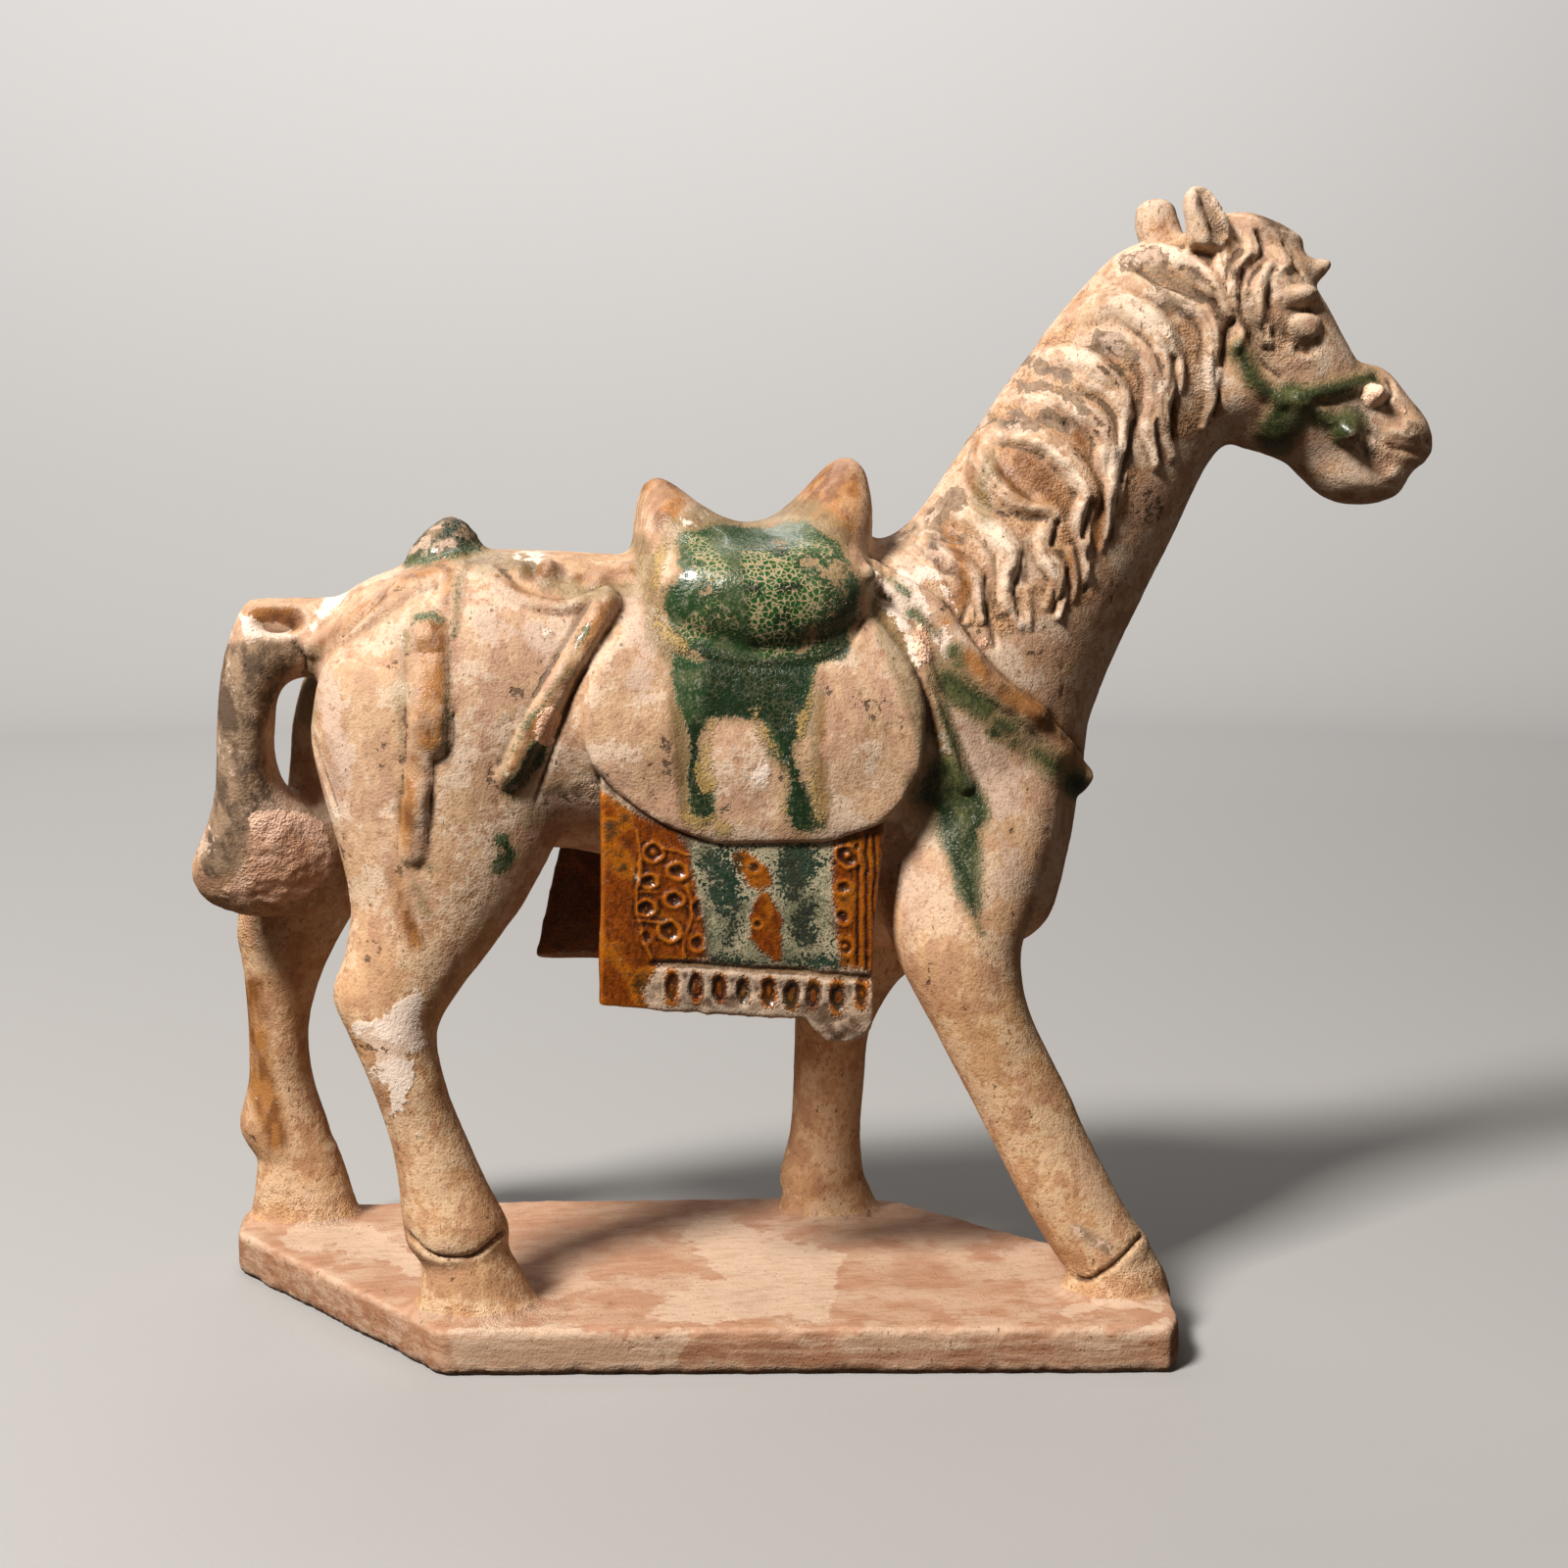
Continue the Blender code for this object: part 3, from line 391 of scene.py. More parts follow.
# The studio: floor, lights (name, place, aim, size, watts, tint) and the air's own light.
FLOOR_MIDDLE = 0.001
FLOOR_FLAT = 1.9
FLOOR_REACH = 3.6
FLOOR_RISE = 2.2
FLOOR_SIDES = 96
LIGHT_AIM = (0.03, 0, 0.16)
LIGHTS = [
    ("key", (-1.2, -1.04, 1.85), LIGHT_AIM, (0.5, 0.5), 116, (1.0, 0.965, 0.92)),
    ("fill", (1.5, -1.1, 0.7), LIGHT_AIM, (1.2, 1.2), 1.4, (1.0, 0.92, 0.84)),
    ("back", (-0.3, 1.4, 1.4), LIGHT_AIM, (1.0, 0.6), 6, (1.0, 0.98, 0.95)),
    ("backdrop", (0, 1.7, 2.4), (0, 3.3, 0.9), (2.4, 0.8), 85, (1.0, 1.0, 1.0)),
]
WORLD_COLOUR = (1.0, 0.76, 0.58)
WORLD_STRENGTH = 0.07

# What every glaze's gloss has in common.
BUMP_DEPTH = 0.001
COAT = {"Coat Roughness": 0.12, "Coat IOR": 1.5, "Specular IOR Level": 0.4}


# Colours, in linear light.
PINK_SLIP = (0.504, 0.306, 0.202)
BUFF_SLIP = (0.518, 0.328, 0.198)
# Cream slip; laid on ridges it is also a painted highlight.
CREAM_SLIP_AND_HIGHLIGHT = (0.612, 0.461, 0.338)
OCHRE_WASH = (0.446, 0.274, 0.137)
BRUSHED_DARK = (0.62, 0.52, 0.42)
LEG_TAN = (0.98, 0.88, 0.72)
OLIVE_WASH = (0.22, 0.155, 0.062)
OLIVE_DEEP = (0.055, 0.06, 0.024)
WHITE_SLIP = (0.76, 0.61, 0.50)
PALE_PINK = (0.53, 0.37, 0.275)
EARTH_DARK = (0.17, 0.108, 0.066)
EARTH_LIGHT = (0.29, 0.19, 0.118)
GRIT_DARK = (0.25, 0.115, 0.046)
GRIT_LIGHT = (0.55, 0.32, 0.16)
# Cream on the mane's lock tops: partly slip, partly a painted highlight.
MANE_CREAM_AND_HIGHLIGHT = (0.74, 0.57, 0.43)
BROWN_SPECK = (0.108, 0.054, 0.0252)
# Hollows and creases darken towards this: partly dirt, partly painted shade.
CREVICE_DIRT_AND_SHADE = (0.115, 0.0612, 0.0288)
STRAW_LIGHT = (0.33, 0.135, 0.034)
STRAW_DARK = (0.18, 0.064, 0.014)
STRAW_POOL = (0.144, 0.0684, 0.0202)
GREEN_DARK = (0.007, 0.021, 0.0065)
GREEN_MID = (0.018, 0.05, 0.014)
GREEN_PALE = (0.06, 0.085, 0.035)
GREEN_BRIGHT = (0.012, 0.085, 0.014)
GREEN_CHALK = (0.187, 0.187, 0.115)
OLIVE_DARK = (0.0202, 0.0302, 0.0101)
OLIVE_PALE = (0.0936, 0.0936, 0.0324)
CRAZE_BUFF = (0.40, 0.30, 0.17)
FLAKE_YELLOW = (0.50, 0.34, 0.12)
FLAKE_BROWN = (0.22, 0.125, 0.035)
SCAR_DARK = (0.64, 0.35, 0.21)
SCAR_LIGHT = (0.92, 0.60, 0.43)
# Dark stains, and painted shade where they fill the mane's grooves and lie under the bridle knot.
GRIME_AND_SHADE_DARK = (0.0612, 0.0396, 0.023)
GRIME_AND_SHADE_LIGHT = (0.288, 0.187, 0.112)
AMBER_MID = (0.21, 0.045, 0.002)
AMBER_BROWN = (0.09, 0.018, 0.0015)
AMBER_POOL = (0.022, 0.005, 0.001)
# Light amber; laid on ridges it is also a painted highlight.
AMBER_LIGHT_AND_HIGHLIGHT = (0.40, 0.115, 0.005)
CLOTH_SHADE = (0.050, 0.026, 0.012)
CLOTH_BUFF = (0.374, 0.259, 0.173)
CLOTH_BROWN = (0.108, 0.0612, 0.0324)
WASH_BLACK = (0.004, 0.010, 0.005)
WASH_DARK = (0.0086, 0.03, 0.016)
WASH_PALE = (0.10, 0.11, 0.06)
WASH_CHALK = (0.40, 0.34, 0.22)
# The slab's side is darkened by this: painted shade, broken by the level strokes.
SLAB_SIDE_PAINTED_SHADE = (0.72, 0.60, 0.50)
SLAB_DARK = (0.38, 0.195, 0.112)
SLAB_LIGHT = (0.44, 0.265, 0.168)
# Pale slip on the slab; under the cloth it is also a painted pool of light.
SLAB_SLIP_AND_LIGHT_POOL_TONE = (0.54, 0.385, 0.272)
FLOOR_COLOUR = (0.338, 0.331, 0.324)
FLOOR_SHADE = (0.302, 0.295, 0.288)

# What is painted or worn is drawn on the photograph's view of the horse, in its 1600 x 1600 places:
# half width and points. A half width of 0 is an area with that outline, and one point is a round spot.
GREEN = [
    (8, [(700, 656), (747, 676), (785, 680), (824, 674), (860, 656)]),
    (10, [(1264, 356), (1276, 381), (1290, 397), (1306, 406)]),
    (21, [(1318, 410), (1314, 424), (1303, 441)]),
    (11, [(1332, 404), (1360, 397), (1386, 391), (1398, 386)]),
    (10, [(1334, 416), (1356, 428), (1372, 436)]),
    (18, [(1374, 437)]),
    (0, [(696, 545), (717, 537), (747, 533), (782, 537), (824, 533), (856, 552), (870, 575), (881, 602),
        (876, 638), (857, 660), (824, 673), (785, 679), (747, 677), (716, 666), (692, 647), (674, 623),
        (676, 602), (692, 587), (692, 564)]),
    (0, [(684, 664), (739, 676), (838, 668), (830, 706), (825, 724), (818, 747), (813, 768), (818, 793),
        (830, 819), (841, 842), (815, 852), (802, 844), (800, 819), (801, 793), (785, 768), (779, 737),
        (723, 734), (716, 755), (713, 793), (723, 803), (734, 834), (718, 844), (705, 834), (703, 806),
        (703, 768), (698, 742), (687, 704)]),
    (0, [(413, 575), (417, 551), (436, 535), (459, 521), (479, 532), (497, 551), (501, 559), (470, 566),
        (440, 572)]),
    (-0.5, [(467, 590), (463, 650)]),
    (-1, [(459, 700), (455, 766)]),
    (0.8, [(424, 631), (438, 628), (452, 633)]),
    (1, [(408, 881), (438, 884)]),
    (8, [(548, 764), (534, 790), (521, 806)]),
    (0.5, [(600, 640), (558, 714), (540, 735), (524, 765), (511, 790)]),
    (4, [(581, 685)]),
    (7, [(514, 858), (520, 872), (512, 884)]),
    (7, [(973, 664)]),
    (4, [(977, 678)]),
    (13, [(966, 696), (984, 708), (1006, 722)]),
    (8, [(1018, 736), (1030, 744)]),
    (8, [(1015, 747)]),
    (6, [(1036, 758)]),
    (6, [(1058, 768), (1078, 784)]),
    (4, [(948, 690), (962, 730), (972, 760)]),
    (14, [(1097, 800)]),
    (0, [(942, 782), (934, 812), (929, 820), (950, 828), (961, 849), (969, 881), (977, 906), (988, 930),
        (1001, 952), (998, 908), (999, 881), (1001, 855), (1009, 830), (1004, 812), (991, 796), (983, 780),
        (972, 774), (958, 772)]),
    (2, [(955, 708), (971, 752), (988, 801)]),
    (3, [(908, 590), (926, 606)]),
    (4, [(930, 625), (955, 645)]),
]
DEEP_GREEN = [
    (9, [(716, 665), (747, 678), (785, 682), (824, 676), (860, 658)]),
    (0, [(758, 562), (800, 556), (822, 590), (818, 640), (806, 668), (764, 662), (760, 610)]),
    (7, [(840, 655), (862, 632), (872, 605)]),
    (5, [(716, 662), (750, 673), (790, 675), (830, 668)]),
    (0, [(720, 672), (832, 668), (826, 715), (818, 760), (828, 800), (836, 846), (802, 846), (804, 800),
        (784, 738), (712, 736)]),
    (12, [(710, 745), (712, 800), (720, 836)]),
    (5, [(1376, 442)]),
    (6, [(1306, 436)]),
    (7, [(992, 800), (998, 820), (994, 850), (984, 880), (994, 930)]),
    (9, [(958, 822), (972, 850), (980, 890)]),
    (8, [(1015, 748)]),
    (12, [(1097, 802)]),
    (8, [(545, 770), (525, 806)]),
    (9, [(516, 870)]),
    (0, [(440, 535), (462, 520), (498, 552), (470, 560), (446, 566)]),
]
# Where the green glaze is crazed.
CRAZED = [
    (0, [(700, 542), (720, 548), (745, 575), (735, 610), (760, 640), (700, 660), (690, 640), (716, 615),
        (704, 580)]),
    (0, [(755, 560), (800, 548), (860, 552), (868, 600), (850, 640), (838, 668), (775, 672), (765, 640),
        (758, 600)]),
]
STRAW = [
    (15, [(262, 629), (282, 633), (298, 632)]),
    (9, [(404, 890), (412, 930), (424, 960)]),
    (8, [(694, 690), (690, 760), (700, 836)]),
    (6, [(840, 690), (838, 760), (838, 836)]),
    (0, [(652, 500), (660, 483), (680, 484), (702, 510), (690, 537), (688, 553), (674, 556), (668, 537),
        (663, 510)]),
    (0, [(824, 490), (843, 468), (862, 464), (880, 486), (881, 512), (877, 554), (860, 564), (858, 545),
        (826, 530), (800, 524)]),
    (7, [(326, 657), (350, 640), (380, 618), (418, 590), (452, 576)]),
    (5, [(459, 580), (456, 610), (452, 640)]),
    (17, [(440, 646), (439, 690), (437, 750)]),
    (9.5, [(420, 775), (416, 820), (414, 868)]),
    (10, [(621, 612), (590, 664), (563, 710), (533, 764), (516, 790)]),
    (12, [(528, 578), (556, 582)]),
    (8, [(592, 590), (616, 590), (644, 580)]),
    (4, [(506, 586), (533, 603), (571, 611)]),
    (13, [(988, 673), (1010, 694), (1031, 713), (1052, 722), (1068, 736), (1090, 762), (1102, 785)]),
    (5, [(905, 630), (930, 662), (946, 706), (958, 745), (970, 780)]),
    (0, [(1024, 454), (1053, 462), (1072, 476), (1090, 500), (1100, 518), (1084, 530), (1065, 519),
        (1034, 515), (1022, 492), (1012, 480)]),
    (6, [(997, 448), (992, 490), (1006, 508)]),
    (8, [(1100, 446), (1116, 480), (1121, 522), (1118, 556)]),
    (6, [(1083, 538), (1092, 572), (1089, 596)]),
    (8, [(970, 540), (985, 600), (960, 640)]),
    (14, [(260, 1010), (262, 1080), (280, 1160)]),
]
# Where yellow flakes edge the green.
FLAKY = [
    (5, [(728, 738), (722, 760), (718, 784), (724, 800)]),
    (4, [(770, 732), (782, 752), (798, 770), (804, 788)]),
    (2, [(806, 800), (801, 826), (803, 844)]),
    (7, [(702, 836), (713, 840)]),
    (7, [(728, 836), (739, 845)]),
    (2.5, [(830, 691), (825, 716), (816, 755), (825, 783), (830, 806), (833, 834)]),
    (3, [(674, 560), (668, 600), (676, 640), (700, 662)]),
]
WHITE = [
    (0, [(351, 1051), (369, 1044), (405, 1026), (426, 1013), (433, 1029), (428, 1054), (420, 1080),
        (411, 1131), (400, 1133), (390, 1105), (374, 1080)]),
    (0, [(891, 581), (918, 584), (937, 600), (956, 632), (972, 650), (968, 672), (945, 650), (924, 630),
        (905, 614)]),
    (2.6, [(922, 632), (934, 667), (943, 696), (956, 730), (966, 760)]),
    (2.4, [(922, 596), (940, 589), (953, 587), (969, 611), (978, 630)]),
    (3, [(246, 628), (252, 641), (272, 646), (300, 652)]),
    (2.5, [(243, 612), (262, 606), (284, 604)]),
    (5, [(313, 656), (324, 632), (340, 608)]),
    (4, [(517, 791)]),
    (3, [(568, 707)]),
    (2.5, [(528, 568), (548, 572)]),
    (6, [(778, 786), (796, 798), (800, 812)]),
    (3, [(793, 650)]),
    (2.5, [(700, 532), (716, 540), (742, 548)]),
    (2.5, [(770, 681), (792, 683), (806, 680)]),
]
PALE = [
    (0, [(985, 726), (998, 731), (1036, 772), (1047, 801), (1041, 836), (1015, 836), (1004, 806),
        (983, 774), (977, 753)]),
    (0, [(270, 781), (285, 778), (300, 806), (293, 827), (280, 824), (270, 801)]),
    (8, [(955, 555), (975, 575), (996, 600), (998, 620)]),
    (10, [(1020, 850), (1036, 880), (1030, 900)]),
    (14, [(640, 610), (660, 660), (650, 700)]),
    (10, [(880, 700), (886, 740)]),
    (12, [(906, 880), (930, 900), (930, 940)]),
    (9, [(1240, 470), (1250, 500)]),
    (12, [(500, 640), (540, 650), (560, 680)]),
    (8, [(1100, 1180), (1130, 1230)]),
    (12, [(330, 690), (340, 740), (350, 800)]),
]
# Where thin olive glaze tints the slip.
OLIVE = [
    (14, [(892, 590), (906, 640), (926, 690), (945, 750), (958, 790)]),
    (18, [(962, 676), (990, 712), (1026, 742), (1060, 770), (1092, 796)]),
    (14, [(932, 800), (950, 830), (975, 850)]),
    (8, [(322, 664), (316, 690), (314, 730)]),
    (9, [(604, 792), (570, 816), (540, 838)]),
    (9, [(556, 596), (600, 604), (640, 600)]),
    (12, [(654, 556), (662, 610), (680, 660), (700, 690), (692, 740), (700, 820)]),
    (16, [(690, 548), (720, 530), (760, 522), (800, 520), (836, 532), (858, 552)]),
    (6, [(424, 905), (436, 930)]),
    (8, [(838, 700), (832, 750), (838, 820)]),
    (5, [(412, 650), (408, 700), (410, 770)]),
    (9, [(1010, 470), (1000, 500), (1006, 530)]),
    (12, [(470, 566), (500, 572), (540, 576)]),
]
SCAR = [
    (0, [(255, 834), (288, 828), (313, 834), (332, 850), (345, 875), (354, 901), (356, 924), (330, 966),
        (288, 975), (247, 965), (221, 945), (206, 930), (214, 908), (238, 900), (252, 883), (257, 862)]),
    (9, [(1403, 402)]),
    (11, [(563, 732), (556, 748)]),
    (8, [(940, 646), (944, 668)]),
    (6, [(1003, 655)]),
    (5, [(1430, 420)]),
]
# Dark stains on the tail; in the mane's grooves and under the bridle knot the same dark is painted shade.
GRIME_AND_SHADE = [
    (7, [(424, 560), (436, 546), (446, 540)]),
    (6, [(456, 530), (466, 527)]),
    (6, [(474, 542), (488, 552)]),
    (5, [(446, 558), (460, 552)]),
    (0, [(220, 655), (303, 648), (313, 663), (293, 699), (272, 745), (277, 801), (280, 821), (260, 829),
        (252, 857), (247, 878), (227, 898), (198, 900), (212, 832), (210, 755), (212, 694)]),
    (7, [(1010, 428), (1034, 432)]),
    (7, [(950, 524), (948, 545), (956, 566)]),
    (10, [(915, 556), (932, 540)]),
    (16, [(566, 815), (600, 812), (612, 800)]),
    (9, [(1226, 205), (1236, 222), (1240, 240)]),
    (7, [(1172, 262), (1190, 282), (1214, 294), (1230, 306)]),
    (6, [(1206, 276), (1228, 288), (1240, 306)]),
    (9, [(1190, 306), (1214, 318)]),
    (10, [(1136, 350), (1156, 364)]),
    (9, [(1292, 222), (1310, 232)]),
    (8, [(1246, 320), (1258, 326)]),
    (7, [(1272, 300), (1280, 330), (1288, 358)]),
    (6, [(1318, 336), (1340, 352)]),
    (10, [(1380, 450), (1400, 460)]),
    (6, [(1100, 1255), (1130, 1275)]),
]
ROUGH = [
    (16, [(432, 554), (459, 536), (484, 550)]),
    (18, [(278, 1226), (318, 1238), (352, 1232)]),
    (14, [(440, 1340), (520, 1348), (566, 1334)]),
    (16, [(1096, 1308), (1140, 1312), (1184, 1290)]),
    (12, [(1172, 1264), (1190, 1290)]),
    (14, [(1046, 470), (1062, 488), (1084, 506)]),
    (12, [(1010, 486), (1006, 506)]),
    (8, [(1150, 370), (1164, 384), (1158, 404)]),
    (9, [(1110, 480), (1118, 510)]),
    (10, [(950, 590), (970, 600)]),
    (10, [(1016, 620), (1026, 640)]),
    (16, [(1205, 340), (1222, 370), (1216, 410), (1204, 430)]),
    (10, [(1246, 206), (1240, 236)]),
    (16, [(1306, 336), (1322, 360), (1336, 352)]),
    (9, [(1270, 300), (1284, 330), (1290, 360)]),
    (14, [(1410, 460), (1420, 480)]),
    (12, [(590, 806), (612, 812)]),
    (10, [(1086, 520), (1090, 545)]),
]
# Where the slip has flaked off the neck and mane.
BARE = [
    (4.5, [(1172, 259), (1180, 263), (1189, 270)]),
    (4.5, [(1153, 270), (1172, 282), (1194, 290), (1218, 300), (1228, 309)]),
    (5, [(1210, 276), (1227, 285), (1239, 302)]),
    (6, [(1256, 270), (1257, 279)]),
    (5, [(1122, 347), (1141, 355), (1160, 369), (1168, 384)]),
    (5, [(1062, 374), (1068, 376)]),
    (4, [(1077, 381), (1090, 387)]),
    (4.5, [(1040, 394), (1064, 396), (1093, 405), (1112, 422)]),
    (5, [(1004, 428), (1012, 430)]),
    (4.5, [(1032, 420), (1040, 424)]),
    (5, [(1048, 430), (1058, 436)]),
    (5, [(1047, 366)]),
    (8, [(973, 511), (956, 532), (966, 546), (980, 550)]),
    (5, [(1184, 370), (1187, 382)]),
    (9, [(1067, 424), (1078, 430), (1090, 436)]),
    (5, [(1282, 344), (1290, 352)]),
    (5, [(1452, 420), (1446, 418)]),
    (5, [(1436, 440), (1442, 436)]),
    (7, [(410, 560), (424, 545)]),
]
# The mane's area.
MANED = [
    (0, [(1190, 225), (1240, 212), (1262, 262), (1262, 330), (1240, 430), (1200, 452), (1160, 500),
        (1136, 560), (1120, 612), (1080, 632), (1020, 648), (990, 640), (950, 582), (940, 545), (975, 470),
        (1040, 370), (1110, 285)]),
]
AMBER = [
    (0, [(606, 800), (640, 826), (668, 838), (692, 846), (704, 868), (706, 890), (712, 912), (720, 940),
        (722, 980), (672, 984), (654, 1010), (664, 1040), (600, 1036), (598, 980), (602, 900)]),
    (0, [(850, 852), (866, 842), (902, 826), (904, 900), (898, 960), (896, 990), (858, 986), (854, 950),
        (849, 900)]),
    (0, [(748, 873), (760, 868), (776, 880), (786, 888), (788, 902), (776, 908), (764, 904), (760, 894),
        (752, 884)]),
    (0, [(776, 910), (770, 918), (764, 934), (766, 946), (764, 958), (774, 970), (788, 982), (798, 984),
        (800, 968), (798, 950), (800, 938), (792, 922), (780, 910)]),
    (6.5, [(686, 994), (686, 1020)]),
    (7, [(711, 996), (711, 1018)]),
    (7, [(734, 999), (735, 1020)]),
    (6, [(758, 1002), (759, 1018)]),
    (8, [(784, 1003), (785, 1020)]),
    (7.5, [(808, 1006), (808, 1024)]),
    (6.5, [(830, 1006), (830, 1026)]),
    (8, [(854, 1006), (854, 1030)]),
    (6, [(880, 1002), (879, 1024)]),
]
CLOTH_GREEN = [
    (0, [(702, 858), (744, 858), (850, 850), (851, 882), (848, 920), (851, 959), (859, 988), (802, 988),
        (778, 986), (724, 986), (718, 946), (713, 920), (705, 890)]),
]
CLOTH_DARK = [
    (12, [(724, 876)]),
    (10, [(731, 890), (741, 898)]),
    (9, [(728, 910), (741, 914), (752, 926)]),
    (8, [(736, 926), (748, 940), (742, 958)]),
    (6, [(722, 978), (750, 980), (780, 984)]),
    (14, [(808, 874), (806, 896)]),
    (12, [(818, 872), (812, 914)]),
    (13, [(824, 926), (816, 940), (822, 956)]),
    (7, [(804, 980), (830, 980), (854, 984)]),
    (5, [(758, 1006), (759, 1018)]),
    (7, [(808, 1006), (808, 1024)]),
    (6, [(830, 1006), (830, 1026)]),
    (6, [(856, 1010), (856, 1030)]),
]
# Pale slip on the slab; the last patch, under the cloth between the legs, is partly a painted pool of
# light.
SLAB_SLIP_AND_LIGHT_POOL = [
    (0, [(456, 1356), (560, 1350), (640, 1360), (712, 1354), (700, 1376), (690, 1400), (560, 1402),
        (470, 1396)]),
    (7, [(1090, 1338), (1130, 1330), (1180, 1334)]),
    (9, [(1110, 1372), (1160, 1366), (1190, 1350)]),
    (5, [(820, 1372), (900, 1368), (980, 1372)]),
    (12, [(300, 1262), (380, 1270), (420, 1290)]),
    (0, [(691, 1262), (723, 1241), (789, 1258), (862, 1282), (846, 1347), (789, 1343), (715, 1352),
        (658, 1343), (683, 1323), (740, 1298), (715, 1278)]),
]
BODY_PAINT = {
    "green": GREEN,
    "deep": DEEP_GREEN,
    "crazed": CRAZED,
    "straw": STRAW,
    "flaky": FLAKY,
    "white": WHITE,
    "pale": PALE,
    "olive": OLIVE,
    "rough": SCAR + ROUGH,
    "bare": BARE,
    "maned": MANED,
    "slab_slip_and_light_pool": SLAB_SLIP_AND_LIGHT_POOL,
}
NEAR_LEG_PAINT = {"scar": SCAR, "grime_and_shade": GRIME_AND_SHADE}
CLOTH_PAINT = {"amber": AMBER, "wash": CLOTH_GREEN, "wash_dark": CLOTH_DARK}

# Finer relief, drawn on the same view: half width there, height in millimetres and points.
CUTS = [
    (6, -0.9, [(1338, 354), (1342, 360)]),
    (6, -1.6, [(1326, 356), (1336, 358)]),
    (5, -1.3, [(1302, 268), (1294, 290), (1292, 315), (1297, 342)]),
    (4, -1.4, [(1277, 331), (1279, 354), (1291, 372), (1307, 384)]),
    (4.5, -2, [(1263, 271), (1268, 280), (1265, 299), (1268, 322), (1279, 350)]),
    (4, -1.6, [(1245, 372), (1249, 345), (1258, 327)]),
    (4, -1.7, [(1238, 422), (1240, 400), (1238, 381), (1245, 360)]),
    (5, -2.2, [(1197, 366), (1199, 400), (1197, 446)]),
    (3.5, -1.6, [(1153, 430), (1151, 457), (1144, 490)]),
    (3, -0.8, [(1343, 411), (1362, 411), (1380, 404)]),
    (3, -1.5, [(1438, 489), (1428, 500)]),
    (2.5, -1.5, [(1417, 388), (1422, 400), (1415, 413)]),
    (6, -1.6, [(1228, 206), (1233, 222), (1239, 240)]),
    (3, -1, [(1286, 220), (1300, 230), (1320, 234)]),
    (3.5, -1.7, [(1281, 237), (1288, 255), (1277, 271), (1265, 283)]),
    (3, -1.4, [(1307, 248), (1314, 262), (1327, 278)]),
    (4, -1.8, [(1153, 268), (1169, 280), (1183, 292), (1203, 299), (1226, 310)]),
    (3.5, -1.1, [(1175, 260), (1190, 272)]),
    (3.5, -1.5, [(1206, 276), (1224, 283), (1238, 299), (1243, 312)]),
    (4.5, -2.4, [(1112, 514), (1107, 534), (1104, 548)]),
    (4, -2, [(1080, 532), (1076, 545), (1073, 556)]),
    (3.5, -1.9, [(1147, 463), (1141, 496), (1135, 534), (1134, 550)]),
    (4, -1.9, [(1156, 429), (1152, 458), (1147, 480)]),
    (3, -1.7, [(1108, 564), (1112, 582), (1108, 604)]),
    (4, -1.9, [(1089, 583), (1084, 603), (1077, 622)]),
    (3, -1.9, [(1042, 564), (1039, 582), (1033, 609)]),
    (2, -1.6, [(1034, 610), (1041, 638)]),
    (3, -1.6, [(1005, 590), (1003, 616), (1011, 639), (1015, 661)]),
    (1.8, -1.4, [(1018, 632), (1031, 627)]),
    (3, -1.4, [(952, 568), (963, 584), (982, 586), (988, 610), (982, 632)]),
    (4, -1.4, [(965, 514), (957, 530), (963, 549), (982, 553)]),
    (4, -1.4, [(1022, 453), (1045, 459), (1064, 467)]),
    (2.2, -1, [(1022, 524), (1040, 528), (1064, 529)]),
    (4, -1.4, [(1086, 432), (1090, 438)]),
    (2, -1, [(415, 668), (433, 669), (451, 666)]),
    (4, -0.8, [(459, 640), (458, 700), (455, 766)]),
    (3, -1.4, [(596, 684), (584, 706), (566, 760), (547, 816)]),
    (2, -1, [(352, 652), (380, 626), (404, 600)]),
    (4, -0.8, [(695, 667), (747, 679), (786, 681), (832, 677), (861, 663), (882, 633)]),
    (5, -2.4, [(247, 955), (288, 962), (313, 955), (356, 924)]),
    (15, -3.4, [(264, 629), (282, 633), (298, 632)]),
    (3, -2, [(262, 962), (282, 973), (296, 968)]),
    (2.4, -1.4, [(255, 832), (253, 856), (246, 880), (228, 900)]),
    (2, -1, [(278, 1003), (300, 1010), (316, 1029)]),
    (2, -1.2, [(300, 655), (312, 675), (306, 700)]),
    (2.6, -1.8, [(316, 742), (330, 790), (344, 830)]),
    (3, -1.8, [(414, 1258), (440, 1280), (480, 1283), (516, 1256)]),
    (3, -1.8, [(1083, 1300), (1110, 1306), (1140, 1288), (1167, 1258)]),
    (2, -1.2, [(1068, 728), (1092, 756), (1110, 770)]),
    (2.4, -1.2, [(955, 706), (971, 752), (986, 800)]),
    (2.5, -1, [(566, 862), (556, 890), (545, 920)]),
]
